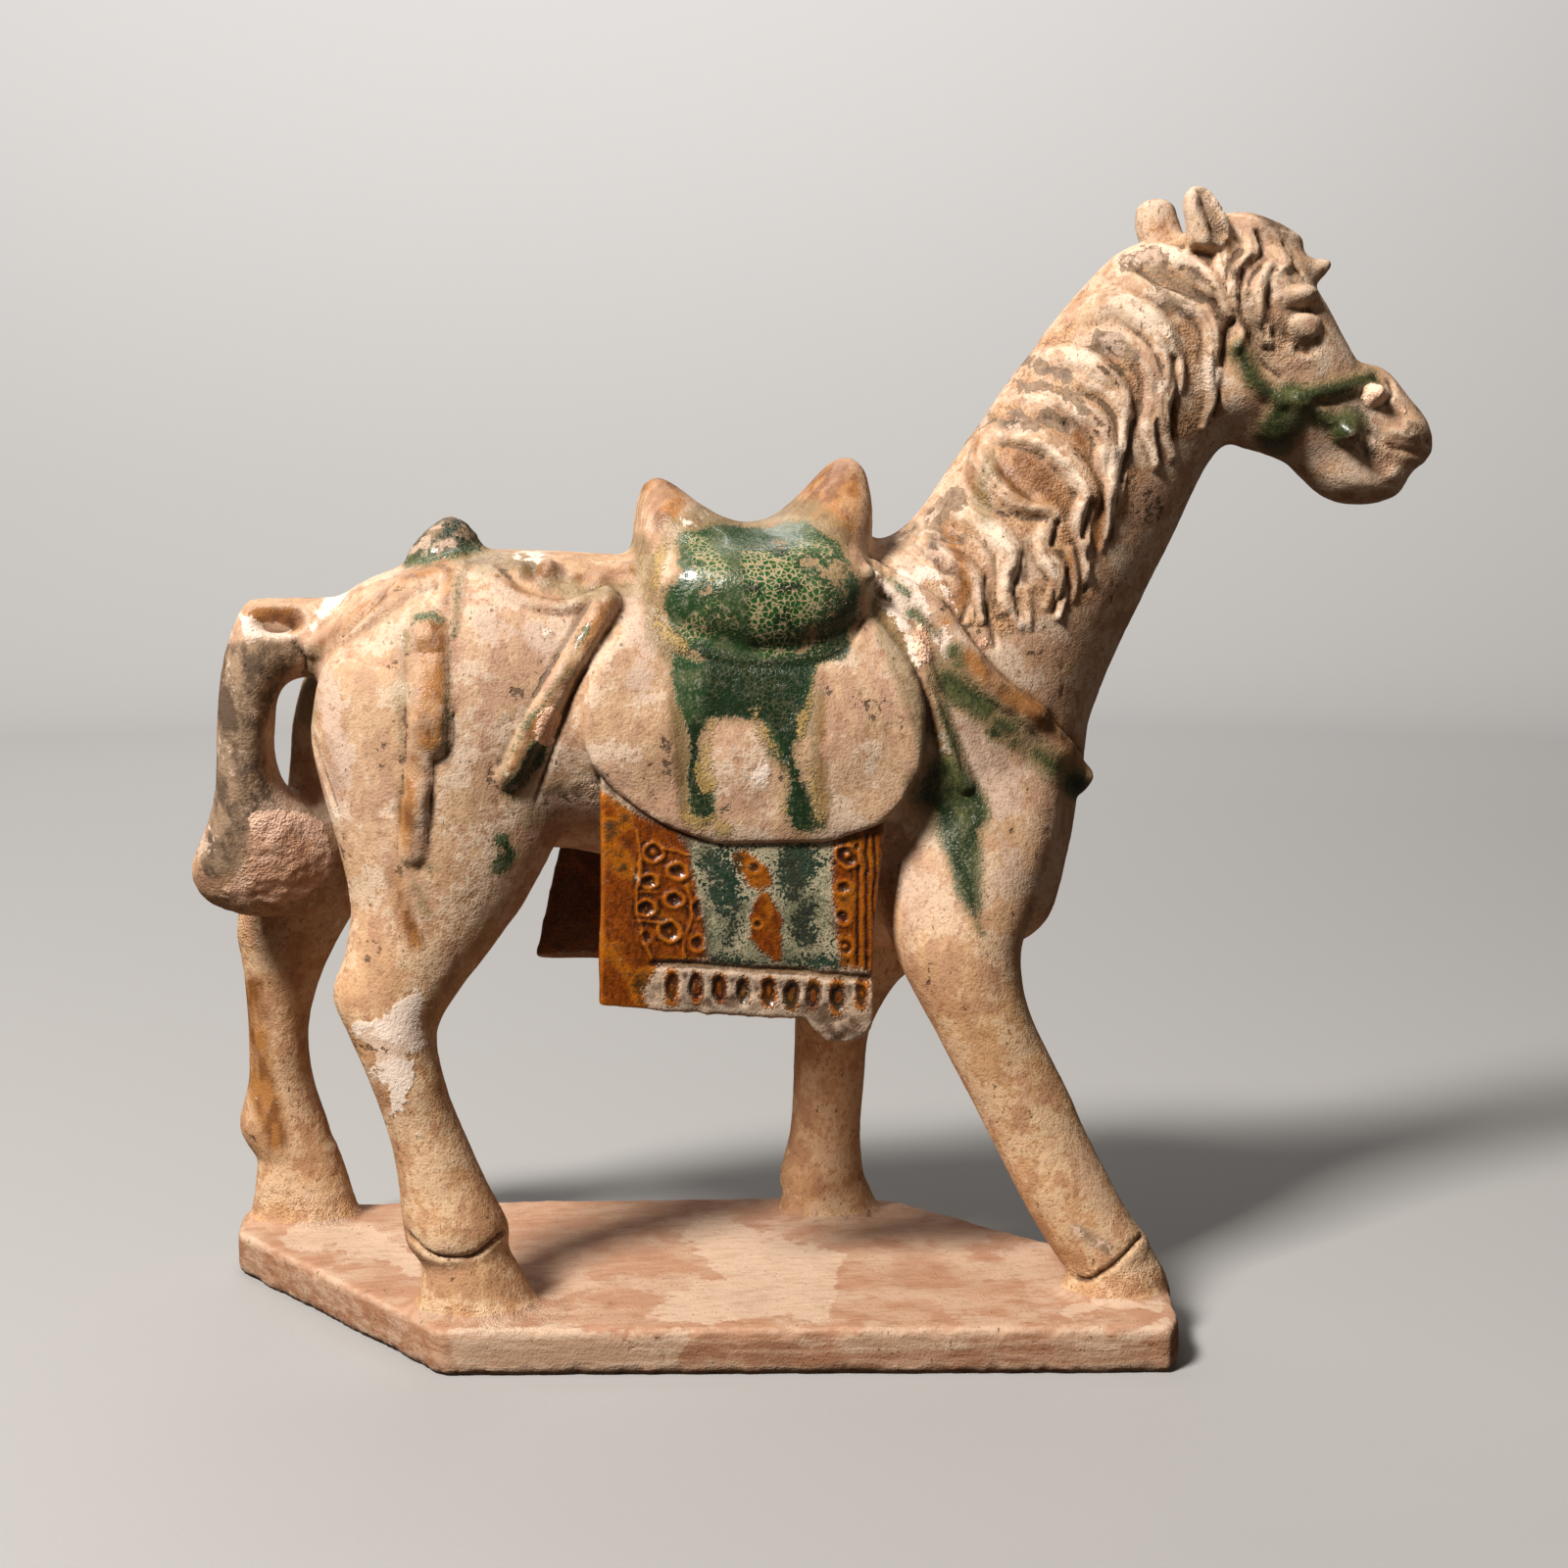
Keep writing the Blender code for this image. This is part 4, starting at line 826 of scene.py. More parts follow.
SWELLS = [
    (12, 1.7, [(1262, 352), (1276, 380), (1290, 397), (1306, 406)]),
    (25, 2.4, [(1316, 414), (1308, 436)]),
    (12, 1.8, [(1326, 405), (1360, 397), (1392, 389)]),
    (10, 1.4, [(1332, 415), (1356, 428)]),
    (20, 2.5, [(1374, 437)]),
    (36, 2.6, [(258, 926), (304, 926)]),
    (14, 2.4, [(1403, 403)]),
    (6, 1.2, [(1302, 292), (1312, 286)]),
    (5, 1.4, [(1283, 300), (1284, 330)]),
    (5, 1.4, [(1258, 300), (1257, 280), (1272, 262)]),
    (6, 1.4, [(1268, 340), (1262, 356)]),
    (6, 1.0, [(1420, 440), (1440, 444)]),
    (9, 1.2, [(1420, 484)]),
    (7, 0.7, [(1014, 478), (1018, 506), (1038, 521), (1066, 521)]),
    (6, 1.1, [(1036, 450), (1066, 458), (1090, 478), (1108, 506)]),
    (5, 1.2, [(1124, 440), (1134, 470), (1128, 510), (1124, 560)]),
    (5, 1.4, [(1092, 560), (1097, 590), (1094, 612)]),
    (5, 1.4, [(1060, 560), (1072, 590), (1068, 620)]),
    (5, 1.6, [(952, 556), (972, 574), (996, 598), (998, 622)]),
    (5, 1.2, [(1020, 545), (1030, 570), (1026, 600)]),
    (5, 1.2, [(1048, 600), (1050, 640)]),
    (17, 1.2, [(433, 650)]),
    (6, 0.9, [(452, 590), (450, 620)]),
    (13, 1.2, [(556, 582)]),
    (12, 1.2, [(1104, 790)]),
    (60, 1.3, [(660, 756)]),
    (60, 1.3, [(850, 756)]),
    (50, 1.0, [(755, 780)]),
]
CREST = [
    (930, 527), (954, 503), (966, 484), (988, 436), (1021, 393), (1045, 360), (1074, 324), (1098, 295),
    (1129, 266), (1164, 237),
]
# Smooth balls: middle, half sizes in the view's pixels, height in millimetres.
BALLS = [
    ((1332, 333), (17, 15), 3.4), ((1321, 302), (22, 12), 1.6),
]
# The cloth's pressed pattern: rings (middle, half sizes, width, height, depth of the middle), bosses
# in them (middle, reach, height), and the fringe's ovals (middle, half sizes) under the hem's line.
RINGS = [
    ((667, 870), (12, 12), 0.17, 0.8, 0.35), ((662, 899), (12, 8.5), 0.22, 0.8, 1.1),
    ((691, 889), (12, 9.5), 0.22, 0.8, 1.1), ((660, 928), (11.5, 9.5), 0.22, 0.8, 1.2),
    ((688, 918), (11.5, 8.5), 0.22, 0.7, 0.9), ((683, 951), (13.5, 11.5), 0.2, 0.8, 0.9),
    ((659, 956), (9, 8), 0.26, 0.4, 0.4), ((711, 962), (9, 10), 0.3, 0.5, 0.7),
    ((712, 928), (7, 13), 0.3, 0.5, 0.6), ((865, 874), (13.5, 13), 0.18, 0.9, 0.7),
    ((861, 905), (9.5, 9), 0.28, 0.4, 0.9), ((861, 935), (9.5, 9.5), 0.28, 0.4, 0.9),
    ((863, 966), (9, 11), 0.28, 0.4, 0.8), ((773, 943), (6, 6), 0.3, 0.3, 0.7),
    ((770, 886), (9, 8), 0.3, 0.4, 0.5),
]
RING_BOSSES = [
    ((667, 870), 4.5, 0.5), ((865, 873), 5.5, 0.9), ((660, 928), 3, 0.5), ((862, 966), 4, 0.7),
]
CLOTH_LINES = [
    (2.2, -0.7, [(875, 862), (876, 984)]),
    (2.0, -0.6, [(884, 852), (885, 990)]),
    (1.8, -0.5, [(892, 850), (893, 985)]),
    (2.4, 0.6, [(650, 846), (653, 880), (649, 915), (653, 945), (664, 978)]),
    (2.2, 0.5, [(654, 911), (673, 911)]),
    (2.2, 0.5, [(650, 941), (672, 942)]),
    (2.2, 0.5, [(676, 866), (704, 872)]),
    (2.2, 0.5, [(700, 902), (706, 932), (697, 962), (698, 978)]),
]
FRINGE_OVALS = [
    ((686, 1007), (9, 19)), ((711, 1006), (10, 18)), ((734, 1009), (9.5, 18)), ((758, 1011), (9, 16)),
    ((784, 1012), (10.5, 17)), ((808, 1015), (10, 17)), ((830, 1016), (9.5, 17)), ((855, 1018), (11, 19)),
    ((880, 1013), (7.5, 17)),
]
FRINGE_TOP = [
    (640, 982), (724, 985), (800, 990), (893, 998),
]
# How a ring is rounded between six sides and a circle, where its rim and its floor lie as shares of its
# size, and how the rim's height and width and the floor's depth are scaled.
RING_ROUND = 0.45
RING_LINE = 0.85
RING_FLOOR = 0.72
RING_SLOPE = 0.4
RING_RISE = 0.75
RING_RIM = 0.8
RING_SINK = 0.55
BOSS_SLOPE = 0.8
# The fringe: where it fades in, its rise under the hem, its ovals' depth, and the groove along the hem.
FRINGE_FROM = (655, 680)
FRINGE_RISE = 0.8
FRINGE_EDGE = (3, 8)
OVAL_DEPTH = 1.1
OVAL_SLOPE = 0.5
HEM_GROOVE = 1.1
HEM_WIDTH = 3.2


def collection(name):
    made = bpy.data.collections.new(name)
    bpy.context.scene.collection.children.link(made)
    return made


def add_object(name, data, home):
    made = bpy.data.objects.new(name, data)
    home.objects.link(made)
    return made


def final_mesh(source):
    """What the object comes to after its modifiers, as a new mesh; the object goes."""
    mesh = bpy.data.meshes.new_from_object(source.evaluated_get(bpy.context.evaluated_depsgraph_get()))
    bpy.data.objects.remove(source)
    return mesh


def write_mesh(bm, mesh):
    bm.to_mesh(mesh)
    bm.free()
    return mesh


def spline(rows, steps):
    """Points on a smooth curve through rows of numbers, with steps pieces to each gap."""
    rows = np.asarray(rows, float)
    padded = np.vstack([2 * rows[0] - rows[1], rows, 2 * rows[-1] - rows[-2]])
    out = []
    for a, b, c, d in zip(padded, padded[1:], padded[2:], padded[3:]):
        for k in range(steps):
            t = k / steps
            slope = 0.5 * t * (c - a)
            bend = t**2 * (a - 2.5 * b + 2 * c - 0.5 * d)
            twist = t**3 * (-0.5 * a + 1.5 * b - 1.5 * c + 0.5 * d)
            out.append(b + slope + bend + twist)
    out.append(rows[-1])
    return np.array(out)


def curve(points):
    return spline(points, CURVE_STEPS) if len(points) > 2 else points


def placed(points):
    """Drawn points (x, y, z) at their real place, standing on the slab."""
    return (points - [0, 0, DRAWN_GROUND]) * UNIT + [0, 0, SLAB_THICKNESS]


def drawn(points):
    return (points - [0, 0, SLAB_THICKNESS]) / UNIT + [0, 0, DRAWN_GROUND]


def loft(bm, sections, squareness):
    """Add one closed form through rounded sections, each from one edge of the outline to the other."""
    rows = spline([[*front, *rear, half, y] for front, rear, half, y in sections], STEPS)
    turns = np.arange(RING) * 2 * math.pi / RING
    along = np.sign(np.cos(turns)) * np.abs(np.cos(turns)) ** (2 / squareness) / 2
    across = np.sign(np.sin(turns)) * np.abs(np.sin(turns)) ** (2 / squareness)
    rings = []
    for x0, z0, x1, z1, half, y in rows:
        x = (x0 + x1) / 2 + (x0 - x1) * along
        z = (z0 + z1) / 2 + (z0 - z1) * along
        rings.append([bm.verts.new(point) for point in placed(np.column_stack([x, y + half * across, z]))])
    faces = []
    for low, high in zip(rings, rings[1:]):
        faces += [bm.faces.new((low[k - 1], low[k], high[k], high[k - 1])) for k in range(RING)]
    faces += [bm.faces.new(rings[0]), bm.faces.new(rings[-1])]
    bmesh.ops.recalc_face_normals(bm, faces=faces)


def lofted(name, forms, home):
    bm = bmesh.new()
    for form, sections in forms.items():
        loft(bm, sections, SQUARENESS.get(form, PLAIN_SQUARENESS))
    return add_object(name, write_mesh(bm, bpy.data.meshes.new(name)), home)


def merged(source, grain):
    """One skin round everything in the object, as a mesh of even cells."""
    remesh = source.modifiers.new("one skin", "REMESH")
    remesh.mode = "VOXEL"
    remesh.voxel_size = grain
    return final_mesh(source)


def read(items, field, width=1, kind=float):
    """A field of all the items of a mesh, as rows of the given width."""
    values = np.empty(len(items) * width, kind)
    items.foreach_get(field, values)
    return values.reshape(-1, width) if width > 1 else values


def read_points(mesh):
    return read(mesh.vertices, "co", 3)


def read_normals(mesh):
    return read(mesh.vertices, "normal", 3)


def write_points(mesh, points):
    mesh.vertices.foreach_set("co", points.ravel())
    mesh.update()


def neighbours(mesh):
    """The points at both ends of every edge, taken from either end, and how many edges each point has."""
    edges = read(mesh.edges, "vertices", 2, int)
    ends = np.concatenate([edges[:, 0], edges[:, 1]])
    others = np.concatenate([edges[:, 1], edges[:, 0]])
    return ends, others, np.bincount(ends, minlength=len(mesh.vertices))


def middles(rows, links):
    """The middle of each point's neighbours."""
    ends, others, count = links
    return np.column_stack([np.bincount(ends, column[others], len(count)) / count for column in rows.T])


def eased(rows, links, rounds):
    """Rows of values averaged with their neighbours' a number of times."""
    for _ in range(rounds):
        rows = (rows + middles(rows, links)) / 2
    return rows


def smooth(mesh, rounds, hollows_only):
    """Ease each point towards its neighbours' middle, or only outwards, which fills the creases."""
    links = neighbours(mesh)
    for _ in range(rounds):
        points = read_points(mesh)
        pull = middles(points, links) - points
        if hollows_only:
            pull *= (np.einsum("ij,ij->i", pull, read_normals(mesh)) > 0)[:, None]
        write_points(mesh, points + pull / 2)


def ramp(value, low, high):
    t = np.clip((value - low) / (high - low), 0, 1)
    return t * t * (3 - 2 * t)


def seen(points):
    """Where points at their real place stand in the photograph's view, in its pixels."""
    level = np.array([-math.sin(TURN), math.cos(TURN), 0])
    right = np.array([math.cos(TURN), math.sin(TURN), 0])
    ahead = level * math.cos(PITCH) - np.array([0, 0, math.sin(PITCH)])
    above = level * math.sin(PITCH) + np.array([0, 0, math.cos(PITCH)])
    away = points - np.array(CAMERA)
    depth = away @ ahead
    return FRAME / 2 + FOCAL * (away @ right) / depth, FRAME / 2 - FOCAL * (away @ above) / depth


def drawn_view(points):
    """The view's pixels for every point, with the far side of body and cloth mirrored to the near side."""
    x, y, z = drawn(points).T
    cloth = (y > CLOTH_FROM_Y) & inside(x, z, CLOTH_SEEN)
    mirrored = (y > 0) & ((z > LEGS_TOP) | cloth) & (x > TAIL_ROOT)
    turned = points.copy()
    turned[:, 1] = np.where(mirrored, -turned[:, 1], turned[:, 1])
    return *seen(turned), cloth


def close_to(u, v, line, reach):
    """Which places lie in the line's box, widened by the reach."""
    low, high = line.min(axis=0) - reach, line.max(axis=0) + reach
    return np.flatnonzero((u > low[0]) & (u < high[0]) & (v > low[1]) & (v < high[1]))


def gap_to(u, v, line):
    """How far each place is from a line of points, or from a single one."""
    if len(line) == 1:
        return np.hypot(u - line[0][0], v - line[0][1])
    gap = np.full(len(u), np.inf)
    for (u0, v0), (u1, v1) in zip(line, line[1:]):
        run = (u1 - u0) ** 2 + (v1 - v0) ** 2
        t = np.clip(((u - u0) * (u1 - u0) + (v - v0) * (v1 - v0)) / run, 0, 1)
        gap = np.minimum(gap, np.hypot(u - u0 - t * (u1 - u0), v - v0 - t * (v1 - v0)))
    return gap


def share_from(u, v, middle, half):
    """How far each place is from the middle, as a share of an ellipse's half sizes."""
    return np.hypot((u - middle[0]) / half[0], (v - middle[1]) / half[1])


def inside(u, v, corners):
    odd = np.zeros(len(u), bool)
    for (u0, v0), (u1, v1) in zip(corners, np.roll(corners, -1, axis=0)):
        crosses = (v0 > v) != (v1 > v)
        if v0 != v1:
            odd ^= crosses & (u < u0 + (v - v0) * (u1 - u0) / (v1 - v0))
    return odd


def depth_in(u, v, shapes):
    """How far each place lies inside the drawn shapes, from -1 well outside to 1 well inside."""
    best = np.full(len(u), -float(BLEND))
    for half, points in shapes:
        corners = np.array(points, float)
        near = close_to(u, v, corners, half + BLEND)
        if half:
            value = half - gap_to(u[near], v[near], curve(corners))
        else:
            gap = gap_to(u[near], v[near], np.vstack([corners, corners[:1]]))
            value = np.where(inside(u[near], v[near], corners), gap, -gap)
        best[near] = np.maximum(best[near], value)
    return np.clip(best / BLEND, -1, 1)


def drawn_height(u, v, lines):
    """The summed height, in millimetres, of rounded swells and cuts drawn in the view."""
    height = np.zeros(len(u))
    for half, tall, points in lines:
        line = np.array(points, float)
        near = close_to(u, v, line, half)
        gap = gap_to(u[near], v[near], curve(line))
        height[near] += tall * np.clip(1 - (gap / half) ** 2, 0, 1) ** 1.5
    return height


def ridge_height(x, z, ridge):
    """Height of one rounded ridge over the drawn points x, z."""
    half, height, points = ridge
    line = spline(points, STEPS)
    near = close_to(x, z, line, half)
    inner = np.zeros(len(x))
    inner[near] = np.clip(1 - gap_to(x[near], z[near], line) / half, 0, 1)
    return height * np.sqrt(inner * (2 - inner))


def bump_height(x, z, bump):
    middle, half, height = bump
    return height * ramp(1 - share_from(x, z, middle, half), 0, 1)


def lock_height(x, z, ridge):
    """Height of one lock of the mane over the drawn points x, z: combed along, and narrowing to a point."""
    half, tall, points = ridge
    half *= LOCK_WIDTH
    line = spline(points, STEPS)
    near = close_to(x, z, line, half)
    at_x, at_z = x[near], z[near]
    lengths = np.hypot(*np.diff(line, axis=0).T)
    starts = np.cumsum(lengths) - lengths
    across = np.full(len(near), np.inf)
    along = np.zeros(len(near))
    for (x0, z0), (x1, z1), start, length in zip(line, line[1:], starts, lengths):
        t = np.clip(((at_x - x0) * (x1 - x0) + (at_z - z0) * (z1 - z0)) / length**2, 0, 1)
        gap = np.hypot(at_x - x0 - t * (x1 - x0), at_z - z0 - t * (z1 - z0))
        side = np.sign((at_x - x0) * (z1 - z0) - (at_z - z0) * (x1 - x0))
        closer = gap < np.abs(across)
        across = np.where(closer, gap * side, across)
        along = np.where(closer, (start + t * length) / lengths.sum(), along)
    share = np.clip(across / (half * (1 - LOCK_POINT * ramp(along, LOCK_NARROWS, 1))), -1, 1)
    rounded = (1 - np.abs(share) ** LOCK_SIDES) ** LOCK_TOP
    groove = (0.5 + 0.5 * np.cos(share * math.pi * STRANDS)) * (1 - share**2)
    grown = LOCK_ROOT + (1 - LOCK_ROOT) * ramp(along, 0, LOCK_GROWN)
    fading = grown * (1 - LOCK_TIP * ramp(along, LOCK_FADES, 1))
    height = np.zeros(len(x))
    height[near] = tall * fading * rounded * (1 - STRAND_DEPTH * groove)
    return height


def noise(points, size, seed):
    """Smooth values from about -1 to 1 in lumps of the given size, the same each run."""
    at = points / size
    cell = np.floor(at).astype(np.int64)
    part = at - cell
    part = part * part * (3 - 2 * part)
    total = np.zeros(len(points))
    for corner in itertools.product((0, 1), repeat=3):
        mixed = 0
        for number, prime in zip((*(cell + corner).T, seed), HASH_STEPS):
            mixed = mixed ^ number * prime
        for shift, prime in HASH_MIXERS:
            mixed = (mixed ^ (mixed >> shift)) * prime & 0xFFFFFFFF
        value = ((mixed >> 12) & 0xFFFF) / 32767.5 - 1
        shares = [p if on else 1 - p for p, on in zip(part.T, corner)]
        total += value * shares[0] * shares[1] * shares[2]
    return total


def layered(points, layers, total=0):
    """The total with layers of noise added to it: height, size in metres and seed."""
    for height, size, seed in layers:
        total = total + height * noise(points, size, seed)
    return total


def clouds(points, size):
    """Layered noise from 0 to 1: lumps of the given size with finer ones on them."""
    return 0.5 + 0.42 * layered(points, ((1, size, 21), (0.55, size / 2, 22), (0.3, size / 4, 23)))


def pitted(points, size, seed, low, high):
    return ramp(noise(points, size, seed), low, high)


def main_relief(points, u, v):
    """The relief of the solids, in drawn units, with strands combed into the locks."""
    x, y, z = drawn(points).T
    raised = np.zeros(len(x))
    uneven = layered(points, STRAP_WEAR, 1)
    torn = layered(points, LOCK_WEAR, 1)
    for ridge in MANE:
        raised = np.maximum(raised, lock_height(x, z, ridge) * torn)
    raised *= ramp(gap_to(u, v, np.array(CREST, float)), *CREST_CLEAR)
    for half, tall, line in STRAPS:
        raised = np.maximum(raised, ridge_height(x, z, (half * STRAP_WIDTH, tall, line)) * uneven)
    for ridge, share in zip(FACE_LINES, FACE_LINE_SHARES):
        raised += share * ridge_height(x, z, ridge)
    for bump in BOSSES:
        raised += bump_height(x, z, bump)
    near_only = bump_height(x, z, TAIL_HOLLOW) + ridge_height(x, z, EAR_HOLLOW)
    return raised + np.where(y < 0, near_only, 0)


def worked(mesh, height, outward, u, v):
    """Raise the skin by millimetres where it faces outward, then roughen it as hand-worked, worn clay."""
    facing = ramp(outward, *SIDE_FADE)
    write_points(mesh, read_points(mesh) + read_normals(mesh) * (height * facing / 1000)[:, None])
    smooth(mesh, 1, False)
    points, normals = read_points(mesh), read_normals(mesh)
    rough = np.maximum(depth_in(u, v, SCAR + ROUGH), 0)
    turning = np.abs(normals[:, 2])
    chipped = (points[:, 2] < CHIPPED_TO) & (turning > CHIPPED_TURN[0]) & (turning < CHIPPED_TURN[1])
    rough = np.where(chipped, SLAB_CHIPS, rough)
    pits = -PIT_DEPTH * pitted(points, *PITS) * pitted(points, *PIT_FIELDS)
    height = (layered(points, LUMPS) + pits + rough * layered(points, BROKEN)) / 1000
    write_points(mesh, points + normals * height[:, None])


def carve(mesh):
    """Raise the mane, harness and face, and cut the fine lines."""
    points = read_points(mesh)
    u, v, _ = drawn_view(points)
    raised = main_relief(points, u, v) * UNIT * 1000
    raised += drawn_height(u, v, CUTS) + drawn_height(u, v, SWELLS)
    for middle, half, tall in BALLS:
        raised += tall * np.sqrt(np.clip(1 - share_from(u, v, middle, half) ** 2, 0, 1))
    worked(mesh, raised, read_normals(mesh)[:, 1] * np.where(points[:, 1] < 0, -1, 1), u, v)


def ring_height(u, v, ring):
    """A raised ring round a sunk middle, in millimetres."""
    middle, half, wide, tall, sunk = ring
    across, down = np.abs((u - middle[0]) / half[0]), np.abs((v - middle[1]) / half[1])
    six_sided = np.maximum(across, across / 2 + down * math.cos(math.pi / 6))
    away = RING_ROUND * np.hypot(across, down) + (1 - RING_ROUND) * six_sided
    rim = RING_RISE * tall * np.exp(-(((away - RING_LINE) / (RING_RIM * wide)) ** 2))
    return rim - RING_SINK * sunk * ramp(RING_FLOOR - away, 0, RING_SLOPE)


def press_cloth(mesh):
    """Press the rings, ridges, edge lines and fringe into the near saddle cloth."""
    points = read_points(mesh)
    u, v = seen(points)
    shaken_u = layered(points, CLOTH_SHAKE_U, u)
    shaken_v = layered(points, CLOTH_SHAKE_V, v)
    height = drawn_height(shaken_u, shaken_v, CLOTH_LINES)
    for ring in RINGS:
        height += ring_height(shaken_u, shaken_v, ring)
    for middle, reach, tall in RING_BOSSES:
        height += tall * ramp(1 - gap_to(u, v, [middle]) / reach, 0, BOSS_SLOPE)
    hem = np.interp(u, *np.array(FRINGE_TOP, float).T)
    raised = FRINGE_RISE * ramp(shaken_v - hem, *FRINGE_EDGE)
    for middle, half in FRINGE_OVALS:
        raised -= OVAL_DEPTH * ramp(1 - share_from(shaken_u, shaken_v, middle, half), 0, OVAL_SLOPE)
    groove = HEM_GROOVE * np.exp(-(((shaken_v - hem) / HEM_WIDTH) ** 2))
    height += ramp(u, *FRINGE_FROM) * (raised * layered(points, FRINGE_WEAR, 1) - groove)
    worked(mesh, height, -read_normals(mesh)[:, 1], u, v)


def keep(mesh, name, values):
    made = mesh.attributes.new(name, "FLOAT", "POINT")
    made.data.foreach_set("value", np.asarray(values, np.float32))


def mark_paint(mesh, near_cloth):
    """Store on each point how far it lies inside each colour's shapes, and how hollow the skin is."""
    points = read_points(mesh)
    u, v, cloth = drawn_view(points)
    keep(mesh, "cloth", cloth & (not near_cloth))
    cloth = cloth | near_cloth
    x, y, z = drawn(points).T
    far_leg = (y > FAR_LEG_Y) & (z < LEGS_TOP)
    for paint, where in ((BODY_PAINT, ~cloth), (NEAR_LEG_PAINT, ~cloth & ~far_leg), (CLOTH_PAINT, cloth)):
        for name, shapes in paint.items():
            keep(mesh, name, np.where(where, depth_in(u, v, shapes), -1) / 2 + 0.5)
    for name, size, stretch in CLOUDS:
        keep(mesh, name, clouds(points * [1, 1, stretch], size))
    keep(mesh, "lock", np.max([lock_height(x, z, ridge) / ridge[1] for ridge in MANE], axis=0))
    maned = ramp(x, *MANE_X) * ramp(z, *MANE_Z)
    keep(mesh, "slip", SLIP_HELD + (MANE_SLIP_HELD - SLIP_HELD) * maned)
    keep(mesh, "tan", ramp(z, *TAN_LEGS))
    keep(mesh, "slab_side", ramp(points[:, 2], *SLAB_SIDE))
    links = neighbours(mesh)
    normals = read_normals(mesh)
    rounds = CLOTH_HOLLOWS if near_cloth else HOLLOWS
    for name, easing, full in zip(("hollow", "deep_hollow"), rounds, HOLLOW_DEPTHS):
        sunk = np.einsum("ij,ij->i", eased(points, links, easing) - points, normals)
        keep(mesh, name, np.clip(eased(sunk[:, None], links, 1)[:, 0] / full / 2 + 0.5, 0, 1))


def slab_mesh(home):
    """The slab: an uneven outline round the four hooves, with softened edges and a flat underside."""
    outline = bpy.data.curves.new("slab outline", "CURVE")
    outline.dimensions = "2D"
    outline.fill_mode = "BOTH"
    outline.extrude = SLAB_THICKNESS / 2
    corners = outline.splines.new("POLY")
    corners.points.add(len(SLAB_CORNERS) - 1)
    for corner, (hoof, across, away) in zip(corners.points, SLAB_CORNERS):
        x, y = HOOVES[hoof]
        corner.co = (x * UNIT + across, y * UNIT + away, SLAB_THICKNESS / 2, 1)
    corners.use_cyclic_u = True
    bm = bmesh.new()
    bm.from_mesh(final_mesh(add_object("slab outline", outline, home)))
    bmesh.ops.remove_doubles(bm, verts=bm.verts, dist=SAME_CORNER)
    bmesh.ops.recalc_face_normals(bm, faces=bm.faces)
    slab = add_object("slab", write_mesh(bm, bpy.data.meshes.new("slab")), home)
    rounding = slab.modifiers.new("worn edges", "BEVEL")
    rounding.width = SLAB_EDGE_ROUND
    rounding.segments = EDGE_SEGMENTS
    rounding.limit_method = "ANGLE"
    return final_mesh(slab)


def refined(mesh, home):
    """The mesh with each face parted in four, its new points on a smooth surface."""
    source = add_object("coarse", mesh, home)
    source.modifiers.new("finer", "SUBSURF").levels = 1
    return final_mesh(source)


def flat_underside(mesh):
    """Close the slab's underside with plain large faces in place of the fine ones."""
    bm = bmesh.new()
    bm.from_mesh(mesh)
    under = [f for f in bm.faces if f.normal.z < FACING_DOWN and f.calc_center_median().z < UNDERSIDE]
    bmesh.ops.delete(bm, geom=under, context="FACES")
    rim = [edge for edge in bm.edges if edge.is_boundary]
    bmesh.ops.triangle_fill(bm, edges=rim, use_beauty=True, normal=(0, 0, -1))
    write_mesh(bm, mesh)


def fit_in(mesh, low, high):
    """Hold every point within the solid's own box."""
    write_points(mesh, np.clip(read_points(mesh), low, high))


def whole_horse(home):
    """The horse with its far cloth, its flaps and the slab, as one fine skin."""
    body = merged(lofted("body", BODY_FORMS, home), BODY_GRAIN)
    smooth(body, BODY_EASING, True)
    joined = lofted("joined", ADDED_FORMS, home)
    bm = bmesh.new()
    for mesh in (joined.data, body, slab_mesh(home)):
        bm.from_mesh(mesh)
    write_mesh(bm, joined.data)
    mesh = merged(joined, JOINED_GRAIN)
    smooth(mesh, JOIN_EASING, True)
    return refined(mesh, home)


def region_of(points):
    """A number for each point: which piece it belongs to."""
    x, _, z = drawn(points).T
    region = np.full(len(x), PIECE_NAMES.index("forequarters"))
    region[x < SADDLE_TO] = PIECE_NAMES.index("saddle_and_flaps")
    region[x < HIND_TO] = PIECE_NAMES.index("hindquarters")
    region[(x > HEAD_FROM_X) & (z > HEAD_FROM_Z)] = PIECE_NAMES.index("head_and_mane")
    region[z < SLAB_TO] = PIECE_NAMES.index("clay_slab")
    return region


def part_of(mesh, chosen, name, home):
    """A piece made of the chosen faces, shaded as the whole mesh is, so that no join shows."""
    starts = read(mesh.polygons, "loop_start", kind=int)[chosen]
    sizes = read(mesh.polygons, "loop_total", kind=int)[chosen]
    corners = read(mesh.loops, "vertex_index", kind=int)
    faces = [corners[start : start + size] for start, size in zip(starts, sizes)]
    used, fresh = np.unique(np.concatenate(faces), return_inverse=True)
    made = bpy.data.meshes.new(name)
    made.vertices.add(len(used))
    made.vertices.foreach_set("co", read_points(mesh)[used].ravel())
    made.loops.add(len(fresh))
    made.loops.foreach_set("vertex_index", fresh.astype(np.int32))
    made.polygons.add(len(faces))
    made.polygons.foreach_set("loop_start", (np.cumsum(sizes) - sizes).astype(np.int32))
    made.update(calc_edges=True)
    made.validate()
    for source in mesh.attributes:
        if source.data_type == "FLOAT" and source.domain == "POINT":
            keep(made, source.name, read(source.data, "value", kind=np.float32)[used])
    made.shade_smooth()
    made.normals_split_custom_set_from_vertices(read_normals(mesh)[used])
    return add_object(name, made, home)


